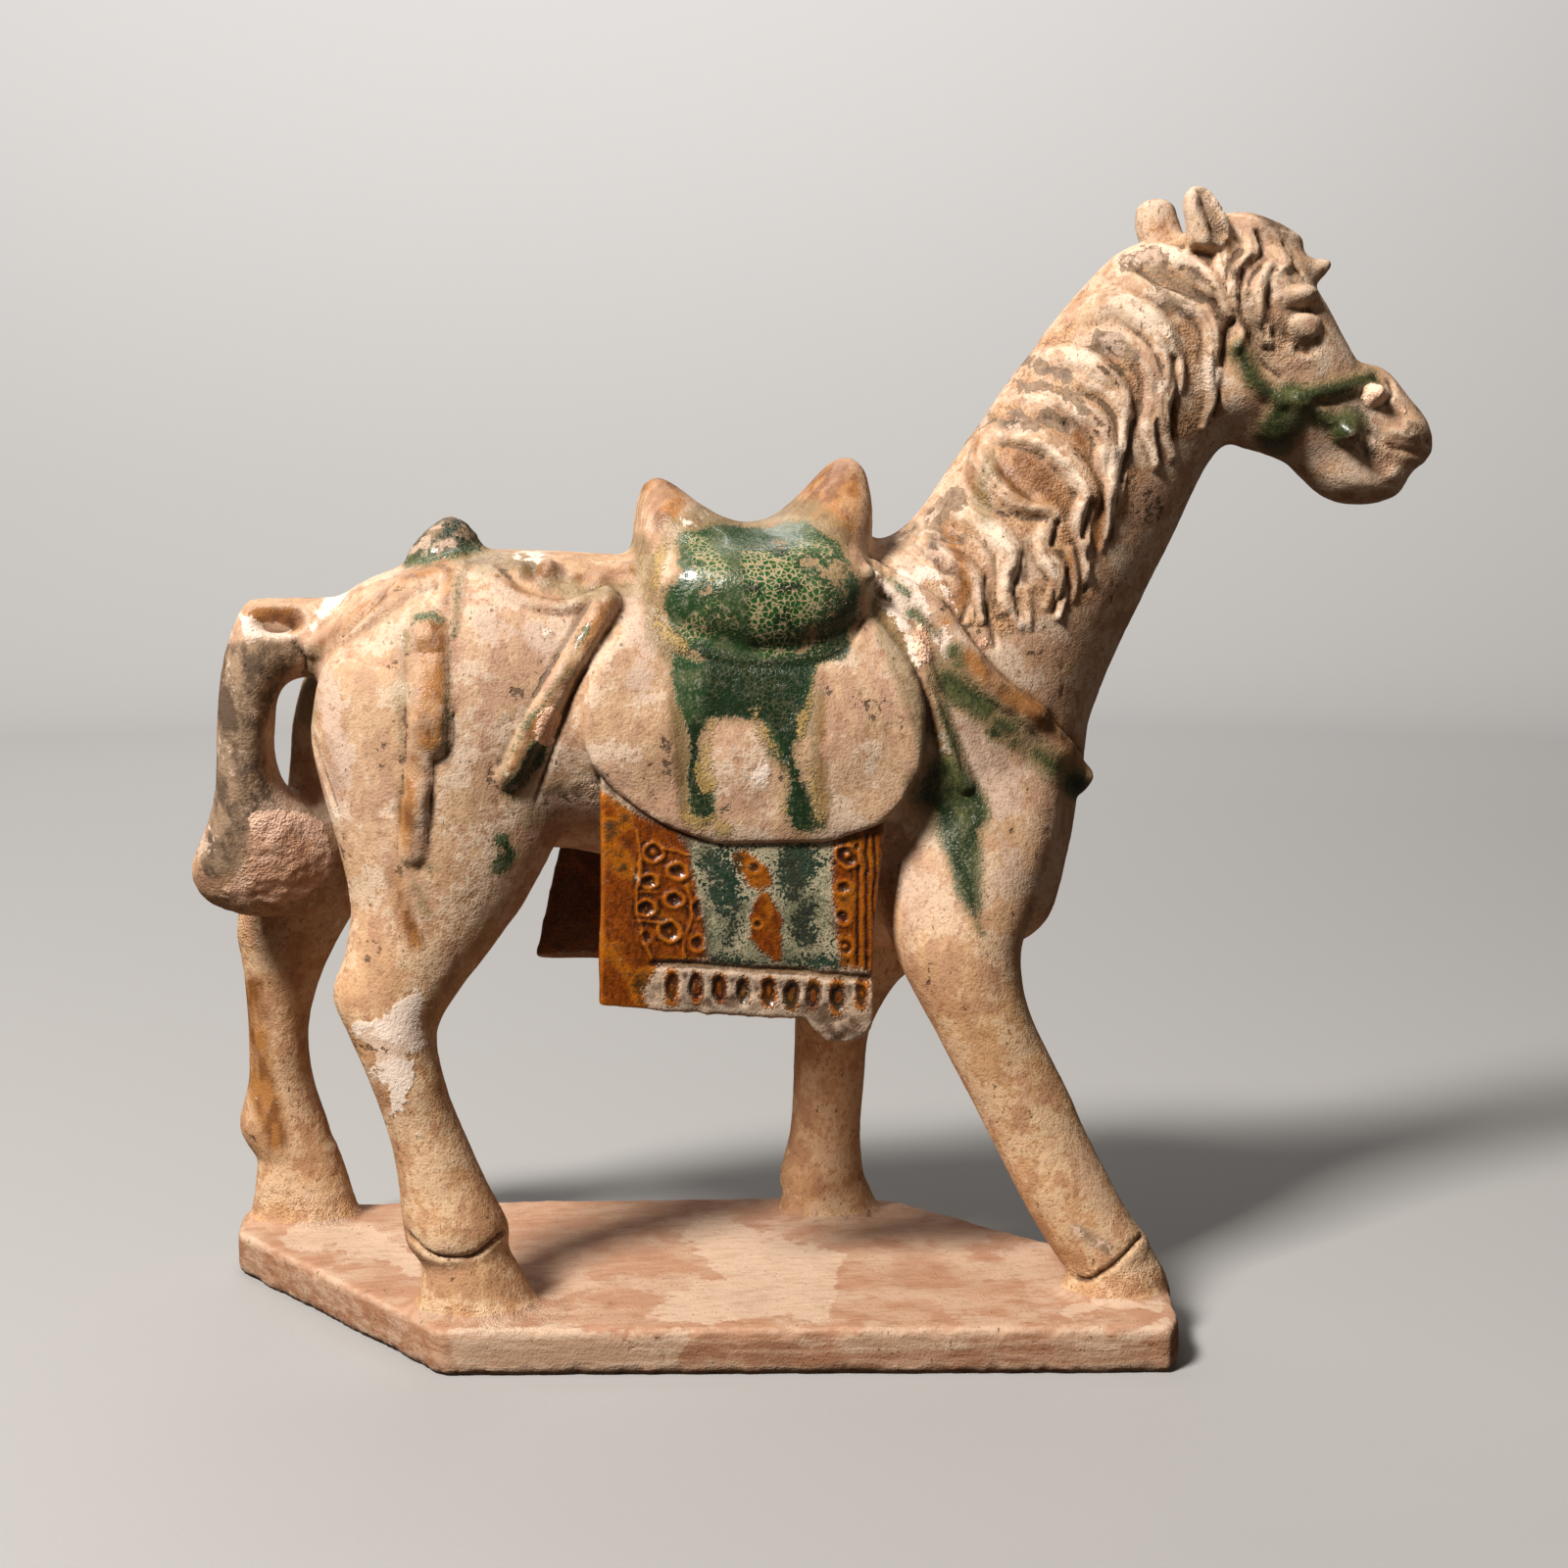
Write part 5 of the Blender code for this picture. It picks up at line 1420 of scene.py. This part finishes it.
def pieces_of(mesh, home):
    regions = region_of(read(mesh.polygons, "center", 3))
    return [part_of(mesh, np.flatnonzero(regions == k), name, home) for k, name in enumerate(PIECE_NAMES)]


class Value:
    """What one shader node gives. Arithmetic with it adds nodes to the same glaze."""

    def __init__(self, glaze, socket):
        self.glaze = glaze
        self.socket = socket

    def __add__(self, other):
        return self.glaze.maths("ADD", self, other)

    def __sub__(self, number):
        return self.glaze.maths("ADD", self, -number)

    def __rsub__(self, number):
        return self.glaze.maths("SUBTRACT", number, self)

    def __mul__(self, other):
        return self.glaze.maths("MULTIPLY", self, other)

    def most(self, other):
        return self.glaze.maths("MAXIMUM", self, other)

    def step(self, low, high, to_low=0, to_high=1):
        """A soft step from one value to another as this one goes from low to high."""
        inputs = {"Value": self, "From Min": low, "From Max": high, "To Min": to_low, "To Max": to_high}
        return self.glaze.node("ShaderNodeMapRange", inputs, interpolation_type="SMOOTHSTEP")


class Glaze:
    """The nodes of one procedural material, in the object's own coordinates."""

    def __init__(self, name):
        self.material = bpy.data.materials.new(name)
        self.material.use_nodes = True
        self.tree = self.material.node_tree
        self.tree.nodes.clear()
        self.place = self.node("ShaderNodeTexCoord", {}, "Object")

    def node(self, kind, inputs, output=0, **settings):
        """One output of a new node: its inputs by name or number, each a Value or what the socket holds."""
        made = self.tree.nodes.new(kind)
        for name, value in settings.items():
            setattr(made, name, value)
        for key, value in inputs.items():
            socket = made.inputs[key]
            if isinstance(value, Value):
                self.tree.links.new(value.socket, socket)
            else:
                socket.default_value = (*value, 1) if socket.type == "RGBA" else value
        return Value(self, made.outputs[output])

    def maths(self, operation, a, b):
        return self.node("ShaderNodeMath", {0: a, 1: b}, operation=operation)

    def field(self, name):
        return self.node("ShaderNodeAttribute", {}, "Fac", attribute_name=name)

    def noise(self, size, detail=3, roughness=0.55, stretch=None):
        place = self.place
        if stretch:
            place = self.node("ShaderNodeMapping", {"Vector": place, "Scale": stretch})
        inputs = {"Vector": place, "Scale": 1 / size, "Detail": detail, "Roughness": roughness}
        return self.node("ShaderNodeTexNoise", inputs)

    def cells(self, size):
        inputs = {"Vector": self.place, "Scale": 1 / size, "Randomness": 1}
        return self.node("ShaderNodeTexVoronoi", inputs, "Distance", feature="DISTANCE_TO_EDGE")

    def edged(self, name, wobble, low, high, reach):
        """How far a colour's drawn area covers each place, with an edge that wanders as the wobble does."""
        return (self.field(name) + (wobble - 0.5) * reach).step(low, high)

    def blend(self, share, a, b):
        """Mix two plain values."""
        return self.node("ShaderNodeMix", {0: share, 2: a, 3: b}, data_type="FLOAT")

    def mix(self, share, a, b, how="MIX"):
        """Mix two colours."""
        return self.node("ShaderNodeMix", {0: share, 6: a, 7: b}, 2, data_type="RGBA", blend_type=how)

    def coats(self, colour, *coats):
        """The colour under coats of others, each given as its share, its colour and how it mixes."""
        for share, coat, *how in coats:
            colour = self.mix(share, colour, coat, *how)
        return colour

    def finish(self, colour, roughness, height, gloss):
        bump = self.node("ShaderNodeBump", {"Height": height, "Distance": BUMP_DEPTH, "Strength": 1})
        inputs = {"Base Color": colour, "Roughness": roughness, "Normal": bump, "Coat Weight": gloss}
        inputs.update(COAT)
        shader = self.node("ShaderNodeBsdfPrincipled", inputs)
        out = self.tree.nodes.new("ShaderNodeOutputMaterial")
        self.tree.links.new(shader.socket, out.inputs["Surface"])
        out.is_active_output = True
        return self.material


class Clay:
    """The worn clay below every glaze: earth-stained body, and slip that has flaked off it in places. Its
    hollows darken with dirt and painted shade, and its ridges lighten with a painted highlight.
    """

    def __init__(self, glaze, brushed=(1, 1, 0.5)):
        self.hollow = glaze.field("hollow").step(0.56, 0.95)
        self.ridge = glaze.field("hollow").step(0.46, 0.12)
        self.deep = glaze.field("deep_hollow").step(0.55, 0.92)
        self.broad = glaze.field("broad")
        self.patches = glaze.field("patches")
        self.streaks = glaze.field("streaks")
        self.specks = glaze.noise(0.0022, 3, 0.66)
        self.grain = glaze.noise(0.0008, 2, 0.6)
        self.brush = glaze.noise(0.0013, 3, 0.7, brushed)
        self.torn = self.patches * 0.5 + self.specks * 0.5
        rough = glaze.field("rough").step(0.35, 0.75)
        bare = glaze.edged("bare", self.torn, 0.42, 0.56, 2)
        hold = glaze.field("slip") + self.ridge * 0.16 + self.hollow * -0.20 + bare * -0.50 + self.torn
        cover = hold.step(0.975, 1.025)
        rim = hold.step(0.92, 0.97) * (1 - cover)
        slip = glaze.coats(
            glaze.mix(self.streaks.step(0.32, 0.68), PINK_SLIP, BUFF_SLIP),
            ((self.torn * 0.5 + self.brush * 0.5).step(0.46, 0.64) * 0.75, CREAM_SLIP_AND_HIGHLIGHT),
            # Cream on the ridges: partly the slip's own tone, partly a painted highlight.
            (self.ridge * 0.85, CREAM_SLIP_AND_HIGHLIGHT),
            (self.broad.step(0.52, 0.74) * 0.35, OCHRE_WASH),
        )
        grit = glaze.mix(self.grain.step(0.38, 0.62), GRIT_DARK, GRIT_LIGHT)
        earth = glaze.mix(self.specks.step(0.36, 0.62), EARTH_DARK, EARTH_LIGHT)
        thick = (self.torn + self.brush * 0.25).step(0.645, 0.665)
        pale = glaze.edged("pale", self.torn, 0.44, 0.60, 2.4)
        lock = glaze.field("lock")
        maned = glaze.field("maned").step(0.4, 0.7)
        gaps = maned * cover * lock.step(0.4, 0.05)
        # The mane's lock tops take cream: partly slip, partly a painted highlight.
        tops = lock.step(0.3, 0.7) * self.torn.step(0.47, 0.49) * maned * cover
        worn = (self.specks * 0.6 + self.grain * 0.4).step(0.50, 0.38)
        blotched = (self.patches * 0.5 + self.streaks * 0.5).step(0.50, 0.36)
        flecks = glaze.noise(0.0013, 2, 0.6, (1, 1, 0.45)).step(0.67, 0.71)
        self.flecks = flecks * self.patches.step(0.46, 0.62)
        colour = glaze.coats(
            glaze.mix(cover, glaze.mix(rough, earth, grit), slip),
            (rim * 0.3, EARTH_DARK),
            (thick * cover * 0.6, CREAM_SLIP_AND_HIGHLIGHT),
            (pale * 0.85, PALE_PINK),
            (gaps * self.torn.step(0.34, 0.60, 0.85, 0.25), grit),
            (tops * 0.75, MANE_CREAM_AND_HIGHLIGHT),
            (worn * 0.6, BRUSHED_DARK, "MULTIPLY"),
            (blotched * 0.35, BRUSHED_DARK, "MULTIPLY"),
            (self.flecks * 0.7, BROWN_SPECK),
            # Hollows and deep hollows darkened: partly dirt, partly painted shade.
            (self.hollow * 0.60, CREVICE_DIRT_AND_SHADE),
            (self.deep * 0.62, CREVICE_DIRT_AND_SHADE),
        )
        self.colour = glaze.mix(glaze.field("tan"), colour, glaze.mix(1, colour, LEG_TAN, "MULTIPLY"))
        height = self.grain * 0.26 + self.specks * 0.22 + self.brush * 0.12 + cover * 0.22
        self.height = height + rough * (self.grain * 0.6) + self.flecks * -0.25
        self.roughness = self.specks.step(0.3, 0.7, 0.55, 0.85)


def amber_of(glaze, clay):
    """The amber glaze's colour and roughness."""
    colour = glaze.coats(
        glaze.mix(clay.brush.step(0.34, 0.62), AMBER_BROWN, AMBER_MID),
        (clay.patches.step(0.44, 0.66) * 0.8, AMBER_LIGHT_AND_HIGHLIGHT),
        ((clay.torn * 0.8 + clay.hollow * 0.5).step(0.40, 0.62) * 0.85, AMBER_POOL),
        # Lighter on the ridges: partly thinner glaze, partly a painted highlight.
        (clay.ridge * 0.7, AMBER_LIGHT_AND_HIGHLIGHT),
    )
    return colour, clay.specks.step(0.3, 0.7, 0.16, 0.42)


def ware_material(name, crackled):
    """Clay and slip under what is left of the straw, green and amber glazes, with scars, dirt and painted
    shade.
    """
    glaze = Glaze(name)
    clay = Clay(glaze)
    torn, specks, patches = clay.torn, clay.specks, clay.patches
    ragged = torn * 0.55 + clay.brush * 0.45
    sprayed = torn * 0.5 + clay.grain * 0.5
    straw = glaze.edged("straw", ragged, 0.25, 0.85, 1.3) * torn.step(0.38, 0.54, 0.5, 0.95)
    straw_colour = glaze.mix(clay.streaks.step(0.34, 0.66), STRAW_DARK, STRAW_LIGHT)
    olive = glaze.edged("olive", ragged, 0.30, 0.74, 2)
    white = glaze.edged("white", torn, 0.44, 0.60, 1.9) * torn.step(0.40, 0.50, 0.5, 0.95)
    soft = (0.42, 0.62) if crackled else (0.30, 0.76)
    green = glaze.edged("green", sprayed * 0.5 + ragged * 0.5, *soft, 1.9)
    deep_green = glaze.edged("deep", sprayed, 0.20, 0.85, 1.6)
    chalk = (clay.brush * 0.45 + specks * 0.55).step(0.50, 0.64)
    if crackled:
        crazed = glaze.field("crazed").step(0.35, 0.75)
        spread = torn.step(0.40, 0.62)
        cracks = glaze.cells(0.0017) + (clay.grain - 0.5) * 0.22
        cracks = cracks.step(glaze.blend(spread, 0.02, 0.16), glaze.blend(spread, -0.03, 0.05))
        green_colour = glaze.coats(
            glaze.mix(patches.step(0.35, 0.62), GREEN_MID, GREEN_PALE),
            (deep_green, GREEN_DARK),
            (patches.step(0.42, 0.60) * crazed * 0.7, GREEN_BRIGHT),
            (chalk * glaze.blend(deep_green, 0.6, 0.05), GREEN_CHALK),
            (cracks * glaze.blend(crazed, 0.10, 0.85), CRAZE_BUFF),
        )
        green = green * (1 - torn.step(0.39, 0.36) * crazed * 0.85)
    else:
        green_colour = glaze.coats(
            glaze.mix(ragged.step(0.38, 0.60), OLIVE_DARK, OLIVE_PALE),
            (deep_green * 0.85, GREEN_DARK),
            (sprayed.step(0.56, 0.60) * 0.45, GREEN_CHALK),
        )
    flaky = glaze.edged("flaky", sprayed, 0.44, 0.58, 2.4)
    scar = glaze.edged("scar", torn, 0.46, 0.54, 1.2)
    scar_colour = glaze.mix(torn.step(0.38, 0.62), SCAR_DARK, SCAR_LIGHT)
    # Dark stains, and painted shade in the mane's grooves and under the bridle knot.
    grime_and_shade = glaze.edged("grime_and_shade", ragged, 0.36, 0.76, 1.7) * (1 - scar)
    stain = torn * 0.5 + (clay.streaks + clay.brush) * 0.25
    grime_and_shade_colour = glaze.mix(stain.step(0.42, 0.58), GRIME_AND_SHADE_DARK, GRIME_AND_SHADE_LIGHT)
    far_cloth = glaze.field("cloth")
    amber_colour, amber_rough = amber_of(glaze, clay)
    colour = glaze.coats(
        clay.colour,
        (straw, glaze.mix(clay.hollow * 0.75, straw_colour, STRAW_POOL)),
        (olive * 0.58, glaze.mix(ragged.step(0.54, 0.42), OLIVE_WASH, OLIVE_DEEP)),
        (white, WHITE_SLIP),
        (glaze.edged("green", ragged, 0.16, 0.52, 1.1) * 0.62, OLIVE_WASH),
        (green, green_colour),
        (flaky * 0.85, glaze.mix(clay.grain, FLAKE_BROWN, FLAKE_YELLOW)),
        (scar, glaze.mix(clay.hollow * 0.6, scar_colour, SCAR_DARK)),
        (grime_and_shade * 0.86, glaze.mix(torn.step(0.60, 0.62), grime_and_shade_colour, PALE_PINK)),
        # The far cloth is darkened towards CLOTH_SHADE: painted shade, as it hangs in the body's shadow.
        (far_cloth, glaze.mix(0.62, amber_colour, CLOTH_SHADE)),
    )
    roughness = clay.roughness
    for share, value in (
        (straw, 0.36),
        (olive, 0.42),
        (white, 0.72),
        (green, glaze.blend(chalk, 0.30, 0.55)),
        (scar, 0.92),
        (grime_and_shade, 0.82),
        (far_cloth, amber_rough),
    ):
        roughness = glaze.blend(share, roughness, value)
    height = clay.height + white * 0.12 + green * 0.12 + flaky * 0.3 + scar * (specks * 0.5)
    gloss = green * glaze.blend(chalk, 0.45 if crackled else 0.15, 0.06) * (1 - grime_and_shade.most(scar))
    return glaze.finish(colour, roughness, height, gloss.most(far_cloth * 0.4))


def cloth_material(name):
    """The saddle cloth: thick amber glaze, dark pools, chalky grey-green runs and a worn fringe."""
    glaze = Glaze(name)
    clay = Clay(glaze)
    sprayed = clay.torn * 0.45 + clay.grain * 0.55
    chalky = clay.grain * 0.6 + clay.patches * 0.4
    wash = glaze.edged("wash", sprayed, 0.34, 0.66, 1.2)
    dark = glaze.edged("wash_dark", sprayed, 0.34, 0.62, 5)
    wash_colour = glaze.coats(
        glaze.mix(chalky.step(0.35, 0.53), WASH_PALE, WASH_CHALK),
        (sprayed.step(0.54, 0.60), WASH_DARK),
        (clay.hollow * 0.5, WASH_DARK),
        (dark * 0.94, glaze.mix(clay.patches.step(0.42, 0.60), WASH_BLACK, WASH_DARK)),
    )
    amber = glaze.edged("amber", sprayed, 0.40, 0.60, 1.1)
    amber_colour, amber_rough = amber_of(glaze, clay)
    flakes = glaze.noise(0.0028, 3, 0.6).step(0.66, 0.70) * clay.patches.step(0.50, 0.64)
    colour = glaze.coats(
        glaze.mix(clay.torn.step(0.40, 0.62), CLOTH_BROWN, CLOTH_BUFF),
        # Cream on the ridges: partly slip, partly a painted highlight.
        (clay.ridge * 0.5, CREAM_SLIP_AND_HIGHLIGHT),
        (clay.hollow * 0.7, STRAW_POOL),
        (wash, wash_colour),
        (amber, glaze.mix(dark * 0.45, amber_colour, WASH_DARK)),
        (flakes * 0.75, WASH_CHALK),
    )
    roughness = glaze.blend(amber, glaze.blend(wash, 0.75, 0.45), amber_rough)
    gloss = amber.most(wash * 0.35) * (1 - flakes) * 0.45
    return glaze.finish(colour, glaze.blend(flakes, roughness, 0.85), clay.height + amber * 0.2, gloss)


def slab_material(name):
    """The slab: reddish clay with level brush strokes, thin slip patches, one of them partly a painted pool
    of light, and a chipped edge whose side is darkened as painted shade.
    """
    glaze = Glaze(name)
    clay = Clay(glaze, (0.16, 0.6, 1))
    strokes = glaze.noise(0.0035, 3, 0.6, (0.12, 0.5, 1.6))
    side = glaze.field("slab_side")
    laid = glaze.blend(glaze.blend(side, 0.5, 0.15), strokes, clay.patches)
    thin = clay.broad.step(0.52, 0.66) * clay.torn.step(0.47, 0.53)
    # Pale slip patches; the one under the cloth is partly a painted pool of light.
    slip = glaze.edged("slab_slip_and_light_pool", clay.torn, 0.44, 0.58, 1.4).most(thin * 0.45)
    colour = glaze.coats(
        glaze.mix(laid.step(0.36, 0.64), SLAB_DARK, SLAB_LIGHT),
        (slip * 0.8, SLAB_SLIP_AND_LIGHT_POOL_TONE),
        # The side darkened: painted shade, broken by the level strokes.
        (side * strokes.step(0.60, 0.44, 0.2, 0.75), SLAB_SIDE_PAINTED_SHADE, "MULTIPLY"),
        (clay.brush.step(0.52, 0.34) * 0.45, BRUSHED_DARK, "MULTIPLY"),
        (clay.flecks * 0.7, BROWN_SPECK),
        # Cream on the ridges: partly slip, partly a painted highlight.
        (clay.ridge * 0.45, CREAM_SLIP_AND_HIGHLIGHT),
        # Hollows darkened: partly dirt, partly painted shade.
        (clay.hollow * 0.6, CREVICE_DIRT_AND_SHADE),
        (clay.deep * 0.4, CREVICE_DIRT_AND_SHADE),
    )
    return glaze.finish(colour, clay.specks.step(0.3, 0.7, 0.66, 0.9), clay.height + strokes * 0.2, 0)


def floor_object(home):
    """A round pale floor that rises softly at its far edge."""
    flat = np.linspace(FLOOR_FLAT / 3, FLOOR_FLAT, 3)
    rising = np.linspace(FLOOR_FLAT, FLOOR_REACH, 15)[1:]
    reach = np.concatenate([[FLOOR_MIDDLE], flat, rising])
    rise = FLOOR_RISE * ramp(reach, FLOOR_FLAT, FLOOR_REACH * 1.2)
    turns = np.arange(FLOOR_SIDES) * 2 * math.pi / FLOOR_SIDES
    bm = bmesh.new()
    rings = []
    for r, z in zip(reach, rise):
        rings.append([bm.verts.new((r * math.cos(t), r * math.sin(t), z)) for t in turns])
    for low, high in zip(rings, rings[1:]):
        for k in range(FLOOR_SIDES):
            bm.faces.new((low[k - 1], high[k - 1], high[k], low[k]))
    bm.faces.new(rings[0])
    bmesh.ops.recalc_face_normals(bm, faces=bm.faces)
    mesh = write_mesh(bm, bpy.data.meshes.new("floor"))
    mesh.shade_smooth()
    made = add_object("floor", mesh, home)
    made.visible_diffuse = False
    made.visible_glossy = False
    glaze = Glaze("pale floor")
    colour = glaze.mix(glaze.noise(0.05) * 0.12, FLOOR_COLOUR, FLOOR_SHADE)
    mesh.materials.append(glaze.finish(colour, 0.75, glaze.noise(0.002, 1) * 0.05, 0))
    return made


def area_light(name, place, aim, size, watts, tint, home):
    light = bpy.data.lights.new(name, "AREA")
    light.shape = "RECTANGLE"
    light.size, light.size_y = size
    light.energy = watts
    light.color = tint
    made = add_object(name, light, home)
    made.location = place
    made.rotation_euler = (Vector(aim) - Vector(place)).to_track_quat("-Z", "Y").to_euler()


def light_scene(home):
    for light in LIGHTS:
        area_light(*light, home)
    world = bpy.data.worlds.new("studio")
    bpy.context.scene.world = world
    world.use_nodes = True
    background = world.node_tree.nodes["Background"]
    background.inputs["Color"].default_value = (*WORLD_COLOUR, 1)
    background.inputs["Strength"].default_value = WORLD_STRENGTH


def add_camera(home):
    data = bpy.data.cameras.new("camera")
    data.lens = LENS
    data.sensor_width = SENSOR
    data.clip_start, data.clip_end = CAMERA_CLIP
    made = add_object("camera", data, home)
    made.location = CAMERA
    made.rotation_euler = (math.pi / 2 - PITCH, 0, TURN)
    bpy.context.scene.camera = made


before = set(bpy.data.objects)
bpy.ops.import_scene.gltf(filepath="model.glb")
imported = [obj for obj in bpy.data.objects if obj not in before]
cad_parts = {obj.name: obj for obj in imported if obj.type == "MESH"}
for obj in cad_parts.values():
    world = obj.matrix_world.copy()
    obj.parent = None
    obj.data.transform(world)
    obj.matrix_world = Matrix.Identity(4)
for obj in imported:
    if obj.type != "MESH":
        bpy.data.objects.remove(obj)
size_before = [list(corner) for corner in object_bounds()]
solids = collection("solids")
model = collection("glazed horse")
studio = collection("studio")

skin = whole_horse(solids)
carve(skin)
flat_underside(skin)
fit_in(skin, *size_before)
mark_paint(skin, False)
cloth = merged(lofted("cloth", CLOTH_FORMS, solids), CLOTH_GRAIN)
smooth(cloth, CLOTH_EASING, False)
press_cloth(cloth)
fit_in(cloth, *size_before)
mark_paint(cloth, True)
cloth.shade_smooth()

ware = {name: ware_material(name + " ware", name in CRACKLED) for name in PIECE_NAMES[:-1]}
amber_ware = cloth_material("amber saddle cloth")
slab_ware = slab_material("slab clay")
shown = pieces_of(skin, model)
for piece in shown:
    piece.data.materials.append(ware.get(piece.name, slab_ware))
shown.append(add_object("near_saddle_cloth", cloth, model))
cloth.materials.append(amber_ware)
for piece in shown:
    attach(piece, "root")
    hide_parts("sancai_horse")

floor_object(studio)
light_scene(studio)
add_camera(studio)

view_settings = bpy.context.scene.view_settings
view_settings.view_transform = "Standard"
view_settings.look = "None"
